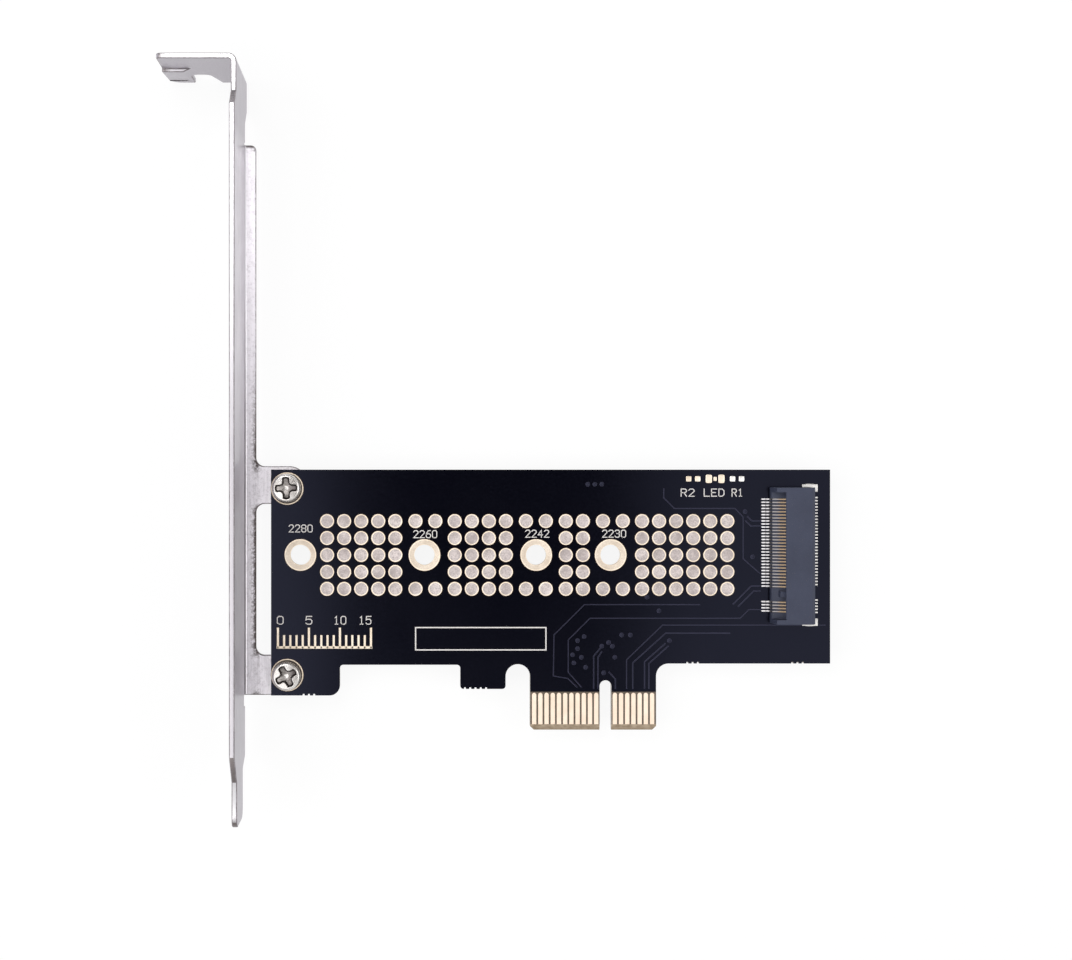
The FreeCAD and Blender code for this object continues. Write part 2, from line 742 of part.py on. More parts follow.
def make_screw(name, y, turn):
    """Pan-head screw with a cross recess, its head on the hole's land and its axis along Z."""
    screw = new_body(name, "thread_x", y, "half_board + copper", turn)
    shank = "shank_diameter / 2"
    tip = "-(board_thickness + copper + sheet + shank_beyond_sheet)"
    profile = draw_outline(new_sketch(screw, "XZ"), [
        ("0", tip),
        ("%s - shank_end_chamfer" % shank, tip),
        (shank, "%s + shank_end_chamfer" % tip),
        (shank, "0"),
        ("head_diameter / 2", "0"),
        ("head_diameter / 2", "head_height - head_chamfer"),
        ("head_diameter / 2 - head_chamfer", "head_height"),
        ("0", "head_height"),
    ])
    add_revolution(screw, profile)

    span, wing, core = "cross_span / 2", "cross_wing / 2", "cross_core / 2"
    corners = []
    for x_sign, y_sign in (("", ""), ("-", ""), ("-", "-"), ("", "-")):
        quarter = [(x_sign + span, y_sign + wing), (x_sign + core, y_sign + core),
                   (x_sign + wing, y_sign + span)]
        corners += quarter if x_sign == y_sign else quarter[::-1]
    recess = draw_outline(new_sketch(screw, "XY", "head_height"), corners)
    add_pocket(screw, recess, "cross_depth", taper="-cross_taper")
    return screw


# ---------------------------------------------------------------------------------------------
# M.2 socket: every piece stands at the drive's stop, on the board's component side
# ---------------------------------------------------------------------------------------------
def new_socket_body(label):
    return new_body(label, "module_stop", "bay_line", "half_board")


def contact_groups(row_end, last_group):
    """Where each group of one contact row starts, and how many contacts it has."""
    return ((row_end, "contacts_first_group"), ("%s - past_key" % row_end, last_group))


def make_housing():
    """Moulded housing: the drive's slot with its key rib, and a comb for the lower contacts."""
    housing = new_socket_body("m2_housing")
    side = draw_outline(new_sketch(housing, "XZ"), [
        ("-socket_lip_front", "0"),
        ("socket_rear", "0"),
        ("socket_rear", "socket_height - socket_rear_chamfer"),
        ("socket_rear - socket_rear_chamfer", "socket_height"),
        ("-socket_arm_front", "socket_height"),
        ("-socket_lip_front", "socket_lip_edge"),
    ])
    add_pad(housing, side, "socket_length", symmetric=True)
    mouth = draw_outline(new_sketch(housing, "XZ"), [
        ("-2 * socket_lip_front", "socket_lip_edge"),
        ("-socket_arm_front", "socket_lip_edge"),
        ("-slot_flat", "slot_floor"),
        ("0", "slot_floor"),
        ("0", "slot_ceiling"),
        ("-socket_jaw_front + jaw_lead_in", "slot_ceiling"),
        ("-socket_jaw_front", "slot_ceiling + jaw_lead_in"),
        ("-socket_jaw_front", "2 * socket_height"),
        ("-2 * socket_lip_front", "2 * socket_height"),
    ])
    add_pocket(housing, mouth, "socket_length - 2 * socket_arm_wall", symmetric=True)
    rib = draw_rectangle(new_sketch(housing, "XZ", "rib_from_axis"),
                         "-rib_front", "socket_lip_edge", "0", "slot_ceiling")
    add_pad(housing, rib, "rib_width", symmetric=True)

    for first_y, count in contact_groups("lower_row_end", "lower_contacts_last_group"):
        slot = draw_rectangle(new_sketch(housing, "XY", "slot_floor + slot_height / 2"),
                              "-2 * socket_lip_front", "%s - contact_slot / 2" % first_y,
                              "comb_depth - socket_lip_front", "%s + contact_slot / 2" % first_y)
        add_row(housing, add_pocket(housing, slot, "slot_ceiling"), "Y", count, "contact_pitch", True)
    return housing


def make_contacts(label, profile, groups):
    """One row of bent contacts, all of the same side profile."""
    row = new_socket_body(label)
    for first_y, count in groups:
        contact = draw_outline(new_sketch(row, "XZ", "-(%s)" % first_y), profile)
        pad = add_pad(row, contact, "contact_width", symmetric=True)
        add_row(row, pad, "Y", count, "contact_pitch", True)
    return row


LOWER_CONTACT = [
    ("-lower_tail", "0"),
    ("-lower_riser", "0"),
    ("-lower_riser", "lower_bend - contact_sheet"),
    ("-lower_tip", "slot_floor + lower_tip_lift - contact_sheet"),
    ("-lower_tip", "slot_floor + lower_tip_lift"),
    ("-lower_riser - contact_sheet", "lower_bend"),
    ("-lower_riser - contact_sheet", "contact_sheet"),
    ("-lower_tail", "contact_sheet"),
]
UPPER_CONTACT = [
    ("socket_rear", "0"),
    ("upper_tail", "0"),
    ("upper_tail", "contact_sheet"),
    ("socket_rear + contact_sheet", "contact_sheet"),
    ("socket_rear + contact_sheet", "upper_rise"),
    ("socket_rear", "upper_rise"),
]


def make_hold_downs():
    """Soldered metal feet that clasp the housing's two rear corners."""
    hold_downs = new_socket_body("m2_hold_downs")
    for side in ("", "-"):
        foot = draw_outline(new_sketch(hold_downs, "XY"), [
            ("hold_down_reach - hold_down_length", side + "socket_half"),
            ("socket_rear", side + "socket_half"),
            ("socket_rear", side + "(socket_half - hold_down_leg)"),
            ("hold_down_reach", side + "(socket_half - hold_down_leg)"),
            ("hold_down_reach", side + "(socket_half + hold_down_width)"),
            ("hold_down_reach - hold_down_length", side + "(socket_half + hold_down_width)"),
        ])
        add_pad(hold_downs, foot, "hold_down_sheet")
    return hold_downs


# ---------------------------------------------------------------------------------------------
# The whole card
# ---------------------------------------------------------------------------------------------
def make_card():
    """Every sub-part of the card, each a document object whose label names its file."""
    parts = [
        make_board(),
        make_fingers("edge_fingers_front", "half_board"),
        make_fingers("edge_fingers_back", "-half_board"),
        make_lands(),
        make_small_lands("lamp_lands", "lamp_x", "lamp_land_pitch", "lamp_land_length", "lamp_land_width"),
    ]
    for name, sign in (("resistor_lands_near", "-"), ("resistor_lands_far", "+")):
        parts.append(make_small_lands(name, "lamp_x %s resistor_offset" % sign, "resistor_land_pitch",
                                      "resistor_land", "resistor_land"))
    for drive in DRIVES:
        parts.append(make_eyelet("standoff_eyelet_" + drive, "module_stop - length_" + drive,
                                 "bay_line", "standoff_bore", "standoff_land", True))
    for height in SCREW_HEIGHTS:
        parts.append(make_eyelet(height.replace("screw", "bracket_eyelet"), "screw_x", height,
                                 "screw_hole", "screw_land", False))
    parts.append(make_bracket())
    parts.append(add_group("bracket_screws", [
        make_screw("upper_bracket_screw", "upper_thread", "upper_screw_turn"),
        make_screw("lower_bracket_screw", "lower_thread", "lower_screw_turn"),
    ]))
    parts += [
        make_housing(),
        make_contacts("m2_lower_contacts", LOWER_CONTACT,
                      contact_groups("lower_row_end", "lower_contacts_last_group")),
        make_contacts("m2_upper_contacts", UPPER_CONTACT,
                      contact_groups("upper_row_end", "upper_contacts_last_group")),
        make_hold_downs(),
    ]
    return parts


def check_card(parts):
    """Stop unless every object of the document is up to date and every sub-part is sound."""
    for thing in doc.Objects:
        if "Invalid" in thing.State or "Error" in thing.State:
            raise RuntimeError("%s failed: %s" % (thing.Label, thing.State))
    for part in parts:
        if part.Shape.isNull() or not part.Shape.isValid():
            raise RuntimeError("%s has no sound shape" % part.Label)


doc = FreeCAD.newDocument("adapter_card")
sheet = fill_sheet()
doc.recompute()
card = make_card()
doc.recompute()
check_card(card)
os.makedirs("parts", exist_ok=True)
for part in card:
    part.Shape.exportStep("parts/%s.step" % part.Label)
    box = part.Shape.BoundBox
    print("%-22s %3d solids %9.2f mm3  X %.2f..%.2f  Y %.2f..%.2f  Z %.2f..%.2f" % (
        part.Label, len(part.Shape.Solids), part.Shape.Volume, box.XMin, box.XMax, box.YMin, box.YMax,
        box.ZMin, box.ZMax))
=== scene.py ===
"""Looks of the M.2 adapter card: materials, print, solder, traces and fine metal detail.

The CAD frame gives every place; lengths are metres, written as millimetres times MM.
"""
import json
import math

import bmesh
import bpy
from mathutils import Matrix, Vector

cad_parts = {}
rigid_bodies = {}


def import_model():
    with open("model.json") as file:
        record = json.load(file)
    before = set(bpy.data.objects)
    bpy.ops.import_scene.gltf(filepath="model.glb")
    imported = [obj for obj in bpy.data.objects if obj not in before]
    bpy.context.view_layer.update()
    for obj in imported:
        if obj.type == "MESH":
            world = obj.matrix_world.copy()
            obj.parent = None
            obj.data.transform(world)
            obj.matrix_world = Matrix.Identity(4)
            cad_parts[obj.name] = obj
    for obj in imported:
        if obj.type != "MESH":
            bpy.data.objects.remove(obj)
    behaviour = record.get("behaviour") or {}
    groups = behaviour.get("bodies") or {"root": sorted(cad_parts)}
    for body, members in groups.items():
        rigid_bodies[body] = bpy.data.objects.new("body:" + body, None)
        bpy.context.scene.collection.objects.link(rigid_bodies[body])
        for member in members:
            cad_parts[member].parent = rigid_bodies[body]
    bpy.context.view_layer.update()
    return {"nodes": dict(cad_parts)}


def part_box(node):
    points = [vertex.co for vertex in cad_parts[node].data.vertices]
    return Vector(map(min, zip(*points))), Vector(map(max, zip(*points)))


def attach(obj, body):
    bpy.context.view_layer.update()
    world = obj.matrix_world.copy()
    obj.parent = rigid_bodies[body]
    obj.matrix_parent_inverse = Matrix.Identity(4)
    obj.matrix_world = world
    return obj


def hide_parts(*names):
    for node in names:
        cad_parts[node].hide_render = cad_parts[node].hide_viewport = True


MM = 0.001

for leftover in list(bpy.data.objects):
    bpy.data.objects.remove(leftover)
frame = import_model()
nodes = frame["nodes"]


# ---- Places, read from the frame ----
DRIVES = ("80", "60", "42", "30")
BRACKET_EYELETS = ("upper_bracket_eyelet", "lower_bracket_eyelet")
WELD = 0.002 * MM

board_low, board_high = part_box("circuit_board")
front_face, back_face = board_high.z, board_low.z
housing_low, housing_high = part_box("m2_housing")
finger_low, finger_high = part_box("edge_fingers_front")
copper = finger_high.z - front_face
bracket_low, bracket_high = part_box("slot_bracket")
flange_edge = board_low.x - 2.53 * MM
flange_top = bracket_high.y - 11.8 * MM
flange_bottom = bracket_low.y + 19.15 * MM


def centre(name):
    """Middle of a CAD node's box."""
    low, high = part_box(name)
    return (low + high) / 2


def solids_of(name):
    """(lowest, highest) corner of each separate solid of a CAD node."""
    mesh = bmesh.new()
    mesh.from_mesh(nodes[name].data)
    bmesh.ops.remove_doubles(mesh, verts=mesh.verts, dist=WELD)
    left, found = set(mesh.verts), []
    while left:
        group, edge = set(), [left.pop()]
        while edge:
            vertex = edge.pop()
            group.add(vertex)
            near = {e.other_vert(vertex) for e in vertex.link_edges} & left
            left -= near
            edge.extend(near)
        spots = [v.co for v in group]
        low = Vector([min(c[i] for c in spots) for i in range(3)])
        high = Vector([max(c[i] for c in spots) for i in range(3)])
        found.append((low, high))
    mesh.free()
    return sorted(found, key=lambda pair: (round(pair[0].x, 5), round(pair[0].y, 5)))


# ---- Shader helpers ----
def srgb(red, green, blue):
    """Linear colour, with alpha, of an 8-bit display colour."""
    def linear(value):
        value /= 255
        return value / 12.92 if value <= 0.04045 else ((value + 0.055) / 1.055) ** 2.4
    return (linear(red), linear(green), linear(blue), 1.0)


def add(tree, kind, inputs=None, **settings):
    """New node; inputs are linked if they are sockets, and otherwise set."""
    node = tree.nodes.new(kind)
    for key, value in settings.items():
        setattr(node, key, value)
    for key, value in (inputs or {}).items():
        if isinstance(value, bpy.types.NodeSocket):
            tree.links.new(value, node.inputs[key])
        else:
            node.inputs[key].default_value = value
    return node


def new_material(name, metallic=0.0, **sockets):
    """Material with one Principled shader, and its node tree."""
    material = bpy.data.materials.new(name)
    material.use_nodes = True
    shader = material.node_tree.nodes["Principled BSDF"]
    shader.inputs["Metallic"].default_value = metallic
    for key, value in sockets.items():
        shader.inputs[key.replace("_", " ")].default_value = value
    return material, material.node_tree


def wire(tree, colour, roughness, height, depth):
    """Give the shader its colour, its roughness, and a surface that rises by depth where height is 1."""
    normal = add(tree, "ShaderNodeBump", {"Height": height, "Distance": depth, "Strength": 1.0}).outputs[0]
    sockets = tree.nodes["Principled BSDF"].inputs
    for key, value in (("Base Color", colour), ("Roughness", roughness), ("Normal", normal)):
        tree.links.new(value, sockets[key])


def place(tree, stretch=(1, 1, 1)):
    """Object coordinates, in metres, stretched along the axes."""
    where = add(tree, "ShaderNodeTexCoord").outputs["Object"]
    return add(tree, "ShaderNodeMapping", {"Vector": where, "Scale": stretch}).outputs["Vector"]


def axes(tree, vector=None):
    """X, Y and Z of a vector, or of the object coordinates."""
    vector = place(tree) if vector is None else vector
    return add(tree, "ShaderNodeSeparateXYZ", {"Vector": vector}).outputs


def noise(tree, size, detail, stretch=(1, 1, 1), roughness=0.55):
    """Noise from 0 to 1 whose spots are about size across."""
    return add(tree, "ShaderNodeTexNoise", {
        "Vector": place(tree, stretch), "Scale": 1 / size, "Detail": detail, "Roughness": roughness,
    }).outputs["Fac"]


def maths(tree, operation, first, second=0.5):
    """Result of one arithmetic operation."""
    return add(tree, "ShaderNodeMath", {0: first, 1: second}, operation=operation).outputs[0]


def times(tree, first, second):
    return maths(tree, "MULTIPLY", first, second)


def larger(tree, first, second):
    return maths(tree, "MAXIMUM", first, second)


def distance(tree, value, middle):
    """How far the value is from the middle, either way."""
    return maths(tree, "ABSOLUTE", maths(tree, "SUBTRACT", value, middle))


def span(tree, value, low, high, to_low=0.0, to_high=1.0):
    """Value brought from low..high to to_low..to_high, and held inside it."""
    return add(tree, "ShaderNodeMapRange", {
        "Value": value, "From Min": low, "From Max": high, "To Min": to_low, "To Max": to_high,
    }).outputs["Result"]


def blend(tree, factor, first, second):
    """Colour between first, at factor 0, and second, at factor 1."""
    return add(tree, "ShaderNodeMix", {0: factor, 6: first, 7: second}, data_type="RGBA").outputs[2]


# ---- Materials ----
MASK_SHEEN = (0.6, 0.64, 1.0, 1.0)
WEAVE = 6.0 * MM
MASK_OPENING = 0.15 * MM


def flatness(tree):
    """1 on a face that lies level, either way up, and 0 on an upright one."""
    facing = axes(tree, add(tree, "ShaderNodeTexCoord").outputs["Normal"])["Z"]
    return maths(tree, "ABSOLUTE", facing)


def make_board_material():
    """Black mask on both faces, bare laminate at the fingers, and layered laminate at the edges."""
    material, tree = new_material("solder_mask_black", Specular_IOR_Level=0.25, Specular_Tint=MASK_SHEEN)
    where = axes(tree)
    flat = span(tree, flatness(tree), 0.97, 0.99)
    mask_edge = finger_high.y + MASK_OPENING
    past_fingers = span(tree, where["Y"], mask_edge - 0.03 * MM, mask_edge + 0.03 * MM)
    middle = (finger_low.x + finger_high.x) / 2
    beside = span(tree, distance(tree, where["X"], middle),
                  finger_high.x - middle + 0.7 * MM, finger_high.x - middle + 0.75 * MM)
    masked = times(tree, flat, larger(tree, past_fingers, beside))

    clouds = noise(tree, 14 * MM, detail=2)
    grain = noise(tree, 0.35 * MM, detail=4)
    mask = blend(tree, span(tree, clouds, 0.35, 0.65), srgb(2, 2, 7), srgb(5, 5, 11))
    mask = blend(tree, span(tree, grain, 0.6, 0.8, 0, 0.4), mask, srgb(14, 14, 24))
    threads = [add(tree, "ShaderNodeTexWave",
                   {"Vector": place(tree), "Scale": 1 / WEAVE, "Distortion": 1.0},
                   bands_direction=axis).outputs["Fac"] for axis in "XY"]
    layers = noise(tree, 0.9 * MM, detail=4, stretch=(1, 1, 7))
    laminate = blend(tree, times(tree, *threads), srgb(150, 134, 114), srgb(176, 160, 138))
    laminate = blend(tree, span(tree, layers, 0.4, 0.7), laminate, srgb(128, 112, 90))
    laminate = blend(tree, times(tree, flat, 0.8), laminate, srgb(84, 76, 68))
    wire(tree, blend(tree, masked, laminate, mask), span(tree, grain, 0.2, 0.8, 0.13, 0.2),
         maths(tree, "ADD", grain, times(tree, layers, 0.6)), 0.0005 * MM)
    return material


def make_trace_material():
    """Mask over copper: the same black, lighter and bluer on the sloping sides of the traces."""
    material, tree = new_material("solder_mask_over_copper", Specular_IOR_Level=0.3,
                                  Specular_Tint=MASK_SHEEN)
    grain = noise(tree, 0.3 * MM, detail=3)
    edge = span(tree, flatness(tree), 0.6, 0.98, 1, 0)
    skin_colour = blend(tree, grain, srgb(24, 24, 34), srgb(38, 38, 50))
    wire(tree, blend(tree, edge, skin_colour, srgb(84, 84, 104)), span(tree, grain, 0.2, 0.8, 0.16, 0.26),
         grain, 0.0006 * MM)
    return material


def make_metal(name, pale, dark, rough, metallic=0.25, depth=0.002 * MM, stretch=(1, 1, 1), speckle=0.0):
    """Plated metal: cloudy colour between pale and dark, fine grain, and optional dark speckles."""
    material, tree = new_material(name, metallic)
    clouds = noise(tree, 2.2 * MM, detail=4)
    grain = noise(tree, 0.12 * MM, detail=5, stretch=stretch, roughness=0.65)
    colour = blend(tree, span(tree, clouds, 0.3, 0.7), pale, dark)
    if speckle:
        spots = noise(tree, 0.22 * MM, detail=3, roughness=0.7)
        colour = blend(tree, span(tree, spots, 0.48, 0.66, 0, speckle), colour, dark)
        colour = blend(tree, span(tree, spots, 0.28, 0.44, speckle, 0), colour, pale)
    wire(tree, colour, span(tree, grain, 0.25, 0.75, rough - 0.07, rough + 0.09), grain, depth)
    return material


def sheet_colour(tree, up, lines, stains):
    """Rolled face: cloudy with dark lines and stains; painted shade beside the board and past the flange."""
    clouds = noise(tree, 9 * MM, detail=4)
    # Painted shade: the face is darker beside the board and past the flange's ends.
    shade_beside_board = span(tree, up, board_high.y, board_high.y + 20 * MM, 1, 0)
    shade_past_flange = larger(tree, span(tree, up, flange_top - 3 * MM, flange_top + 1 * MM),
                         span(tree, up, flange_bottom - 1 * MM, flange_bottom + 2 * MM, 1, 0))
    colour = blend(tree, span(tree, clouds, 0.3, 0.7), srgb(214, 209, 216), srgb(194, 189, 196))
    colour = blend(tree, shade_beside_board, colour, srgb(180, 175, 182))
    colour = blend(tree, shade_past_flange, colour, srgb(168, 163, 171))
    colour = blend(tree, span(tree, lines, 0.52, 0.72, 0, 0.4), colour, srgb(158, 152, 158))
    return blend(tree, span(tree, stains, 0.6, 0.75, 0, 0.5), colour, srgb(150, 142, 142))


def cut_colour(tree, where):
    """Cut edges: brighter up the plate and at the tail as painted light; painted shade at the very ends."""
    up = where["Y"]
    # Painted light up the plate and at the tail; painted shade at the lip's end and the tail's foot.
    lit_up_plate = larger(tree, span(tree, up, board_high.y + 4 * MM, flange_top - 8 * MM),
                    span(tree, up, bracket_low.y + 6 * MM, bracket_low.y + 9 * MM, 1, 0))
    shade_at_ends = larger(tree, span(tree, where["X"], bracket_low.x + 0.5 * MM, bracket_low.x + 1.5 * MM, 0.9, 0),
                  span(tree, up, bracket_low.y + 0.6 * MM, bracket_low.y + 2.2 * MM, 0.6, 0))
    colour = blend(tree, lit_up_plate, srgb(194, 190, 195), srgb(230, 228, 231))
    return blend(tree, shade_at_ends, colour, srgb(112, 104, 104))


def flange_colour(tree, where, face, colour, lines, stains):
    """The flange's face laid over a colour: bright and mottled, with a frayed and speckled border."""
    up = where["Y"]
    mottled = blend(tree, span(tree, stains, 0.5, 0.66, 0, 0.5), srgb(249, 245, 250), srgb(196, 189, 195))
    colour = blend(tree, times(tree, face, span(tree, lines, 0.45, 0.75, 1.0, 0.7)), colour, mottled)
    from_edge = distance(tree, where["X"], flange_edge)
    frayed = span(tree, from_edge, 0.5 * MM, 1.1 * MM, 0.7, 0)
    burred = larger(tree, span(tree, from_edge, 0.2 * MM, 0.55 * MM, 1, 0),
                    span(tree, up, flange_top - 0.6 * MM, flange_top - 0.2 * MM))
    worn = larger(tree, span(tree, up, board_high.y, board_high.y + 18 * MM, 1, 0),
                  span(tree, up, flange_top - 1.2 * MM, flange_top - 0.8 * MM))
    for name in BRACKET_EYELETS:
        from_ear = distance(tree, up, centre(name).y)
        worn = times(tree, worn, span(tree, from_ear, 2.4 * MM, 3.6 * MM, 0.12, 1))
    worn = times(tree, worn, face)
    grey_spots = times(tree, frayed, span(tree, stains, 0.44, 0.54))
    dark_spots = times(tree, burred, span(tree, stains, 0.36, 0.48))
    colour = blend(tree, times(tree, worn, grey_spots), colour, srgb(146, 138, 140))
    return blend(tree, times(tree, worn, dark_spots), colour, srgb(62, 50, 45))


def make_bracket_material():
    """Nickel-plated sheet: rolled faces, cut edges, and a fold and sheared slopes dark with painted shade.
    """
    material, tree = new_material("nickel_sheet", 0.5)
    lines = noise(tree, 0.3 * MM, detail=5, stretch=(1, 0.06, 1), roughness=0.7)
    stains = noise(tree, 0.5 * MM, detail=6, roughness=0.75)
    where = axes(tree)
    normal = axes(tree, add(tree, "ShaderNodeNewGeometry").outputs["True Normal"])
    upward = span(tree, normal["Z"], 0.8, 0.95)
    in_front = span(tree, where["Z"], front_face + 1 * MM, front_face + 2 * MM)
    behind = maths(tree, "SUBTRACT", 1.0, in_front)
    colour = blend(tree, times(tree, upward, in_front), sheet_colour(tree, where["Y"], lines, stains),
                   cut_colour(tree, where))
    # Fold in painted shade: dark beside the board, a lighter grey higher up.
    fold = times(tree, span(tree, normal["Z"], 0.15, 0.45), behind)
    high_up = span(tree, where["Y"], board_high.y + 6 * MM, board_high.y + 30 * MM)
    colour = blend(tree, fold, colour, blend(tree, high_up, srgb(116, 112, 116), srgb(214, 210, 215)))
    colour = flange_colour(tree, where, times(tree, upward, behind), colour, lines, stains)
    # Sheared slopes: stains and painted shade, darker on the slope that faces +Y.
    lean = times(tree, maths(tree, "ABSOLUTE", normal["Y"]), normal["Z"])
    shear_and_shade = times(tree, span(tree, lean, 0.36, 0.4), span(tree, stains, 0.3, 0.7, 0.95, 0.7))
    facing_up = span(tree, normal["Y"], -0.1, 0.1)
    colour = blend(tree, shear_and_shade, colour, blend(tree, facing_up, srgb(98, 90, 86), srgb(50, 45, 44)))
    wire(tree, colour, span(tree, lines, 0.25, 0.75, 0.26, 0.4), lines, 0.0015 * MM)
    return material


def make_burr_material():
    """Rounded edges in painted shade, darker behind the board, with rough brown stains along the flange."""
    material, tree = new_material("nickel_edge_shade", 0.4)
    rough = noise(tree, 0.3 * MM, detail=5, roughness=0.75)
    clouds = span(tree, noise(tree, 1.6 * MM, detail=3), 0.35, 0.65)
    where = axes(tree)
    behind = span(tree, where["Z"], front_face, front_face + 1 * MM, 1, 0)
    # Painted shade: the rounded edges are grey, and darker behind the board.
    plated = blend(tree, clouds, srgb(210, 205, 210), srgb(178, 172, 177))
    shade_behind_board = blend(tree, clouds, srgb(158, 152, 156), srgb(126, 120, 124))
    colour = blend(tree, behind, shade_behind_board, plated)
    colour = blend(tree, span(tree, rough, 0.5, 0.62, 0, 0.7), colour, srgb(96, 88, 86))
    worn = larger(tree, span(tree, where["Y"], board_high.y + 4 * MM, board_high.y + 22 * MM, 1, 0.1),
                  span(tree, where["Y"], flange_top - 1 * MM, flange_top))
    from_edge = distance(tree, where["X"], flange_edge)
    worn = times(tree, worn, span(tree, from_edge, 0.5 * MM, 1.5 * MM, 1, 0.35))
    stained = times(tree, times(tree, behind, worn), span(tree, rough, 0.3, 0.5, 0.45, 1))
    wire(tree, blend(tree, stained, colour, srgb(64, 54, 48)), span(tree, rough, 0.3, 0.7, 0.4, 0.6),
         rough, 0.006 * MM)
    return material


def make_contact_material():
    """Spring contacts: tinned tail, gold plated towards the drive; painted shade at bend and in housing."""
    material, tree = new_material("contact_plating", 0.35)
    along = axes(tree)["X"]
    grain = noise(tree, 0.1 * MM, detail=4)
    lip = housing_low.x
    plated = span(tree, along, lip + 0.85 * MM, lip + 1.45 * MM)
    # Painted shade: a dark band at the bend in the tail.
    bend = span(tree, distance(tree, along, lip - 0.68 * MM), 0.06 * MM, 0.16 * MM, 0.65, 0)
    tail = blend(tree, bend, srgb(240, 237, 238), srgb(100, 95, 95))
    # Painted shade inside the housing: dull tin and gold, darkest where the contact rises at the lip.
    colour = blend(tree, plated, srgb(136, 132, 134), srgb(142, 120, 94))
    colour = blend(tree, span(tree, along, lip + 0.16 * MM, lip + 0.24 * MM), srgb(46, 42, 46), colour)
    colour = blend(tree, span(tree, grain, 0.5, 0.75, 0, 0.5), colour, srgb(92, 80, 70))
    colour = blend(tree, span(tree, along, lip - 0.14 * MM, lip - 0.06 * MM), tail, colour)
    wire(tree, colour, span(tree, grain, 0.2, 0.8, 0.34, 0.5), grain, 0.003 * MM)
    return material


def make_housing_material():
    """Moulded glass-filled plastic: blue-grey, finely pitted, with pale flecks."""
    material, tree = new_material("socket_plastic", Specular_IOR_Level=0.4)
    clouds = noise(tree, 5 * MM, detail=3)
    pits = noise(tree, 0.16 * MM, detail=4, roughness=0.7)
    fibres = noise(tree, 0.5 * MM, detail=5, stretch=(1, 5, 1), roughness=0.7)
    flecks = noise(tree, 0.11 * MM, detail=2)
    colour = blend(tree, span(tree, clouds, 0.3, 0.7), srgb(44, 49, 68), srgb(52, 57, 77))
    colour = blend(tree, span(tree, fibres, 0.55, 0.75, 0, 0.4), colour, srgb(72, 73, 88))
    colour = blend(tree, span(tree, pits, 0.6, 0.75, 0, 0.5), colour, srgb(36, 39, 55))
    colour = blend(tree, span(tree, flecks, 0.7, 0.76, 0, 0.6), colour, srgb(126, 110, 98))
    wire(tree, colour, span(tree, pits, 0.3, 0.7, 0.5, 0.66), pits, 0.006 * MM)
    return material


def make_ink():
    """Screen-printed white ink, thin and slightly broken at its edges."""
    material, tree = new_material("print_ink_white", Specular_IOR_Level=0.3)
    grain = noise(tree, 0.09 * MM, detail=3)
    colour = blend(tree, span(tree, grain, 0.4, 0.7), srgb(224, 220, 216), srgb(184, 180, 178))
    wire(tree, colour, span(tree, grain, 0.2, 0.8, 0.55, 0.75), grain, 0.004 * MM)
    return material


GOLD = make_metal("gold_plate", srgb(252, 232, 212), srgb(240, 216, 194), 0.4, stretch=(6, 1, 1))
GOLD_RING = make_metal("gold_ring", srgb(250, 236, 216), srgb(236, 218, 194), 0.4)
GOLD_BAND = make_metal("gold_band", srgb(232, 218, 202), srgb(200, 184, 166), 0.46, speckle=0.8)
LAND_FACE = make_metal("land_face", srgb(212, 201, 198), srgb(158, 147, 145), 0.5, depth=0.006 * MM,
                       speckle=1.0)
LAND_EDGE = make_metal("land_edge", srgb(112, 88, 64), srgb(66, 48, 36), 0.5, metallic=0.2)
SHADED_BAND = make_metal("shaded_band", srgb(92, 82, 74), srgb(58, 50, 46), 0.5, metallic=0.3)
NICKEL = make_bracket_material()
NICKEL_EDGE_SHADE = make_burr_material()
SCREW_STEEL = make_metal("screw_nickel", srgb(240, 237, 234), srgb(200, 193, 188), 0.22, metallic=0.75,
                         depth=0.003 * MM)
# Cross recess: painted shade, darker on its floor and darkest on its walls.
SCREW_FLOOR_SHADE = make_metal("screw_recess_floor_shade", srgb(190, 184, 180), srgb(84, 76, 72), 0.34, metallic=0.6,
                         depth=0.012 * MM, speckle=0.8)
SCREW_WALL_SHADE = make_metal("screw_recess_wall_shade", srgb(62, 54, 50), srgb(36, 30, 28), 0.4, metallic=0.5)
TIN = make_metal("bright_tin", srgb(248, 246, 242), srgb(214, 211, 208), 0.3, metallic=0.4,
                 depth=0.006 * MM)
PAD = make_metal("pad_solder", srgb(250, 238, 220), srgb(214, 194, 168), 0.34, metallic=0.35,
                 depth=0.006 * MM)
CONTACT = make_contact_material()
BOARD = make_board_material()
TRACE = make_trace_material()
HOUSING = make_housing_material()
INK = make_ink()


# ---- Mesh helpers ----
def finish_piece(name, mesh, materials, replaced=(), sharp=35):
    """Object of a bmesh, shaded smooth below the sharp angle, which rides on the card."""
    data = bpy.data.meshes.new(name)
    bmesh.ops.recalc_face_normals(mesh, faces=mesh.faces)
    mesh.to_mesh(data)
    mesh.free()
    for material in materials:
        data.materials.append(material)
    piece = bpy.data.objects.new(name, data)
    bpy.context.scene.collection.objects.link(piece)
    data.shade_smooth()
    data.set_sharp_from_angle(angle=math.radians(sharp))
    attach(piece, "root")
    if replaced:
        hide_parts(*replaced)
    return piece


def ring(mesh, spot, radius, height, sides, turn=0.0):
    """Circle of points about the vertical through spot."""
    angles = [2 * math.pi * step / sides + turn for step in range(sides)]
    return [mesh.verts.new(spot + Vector((radius * math.cos(a), radius * math.sin(a), height)))
            for a in angles]


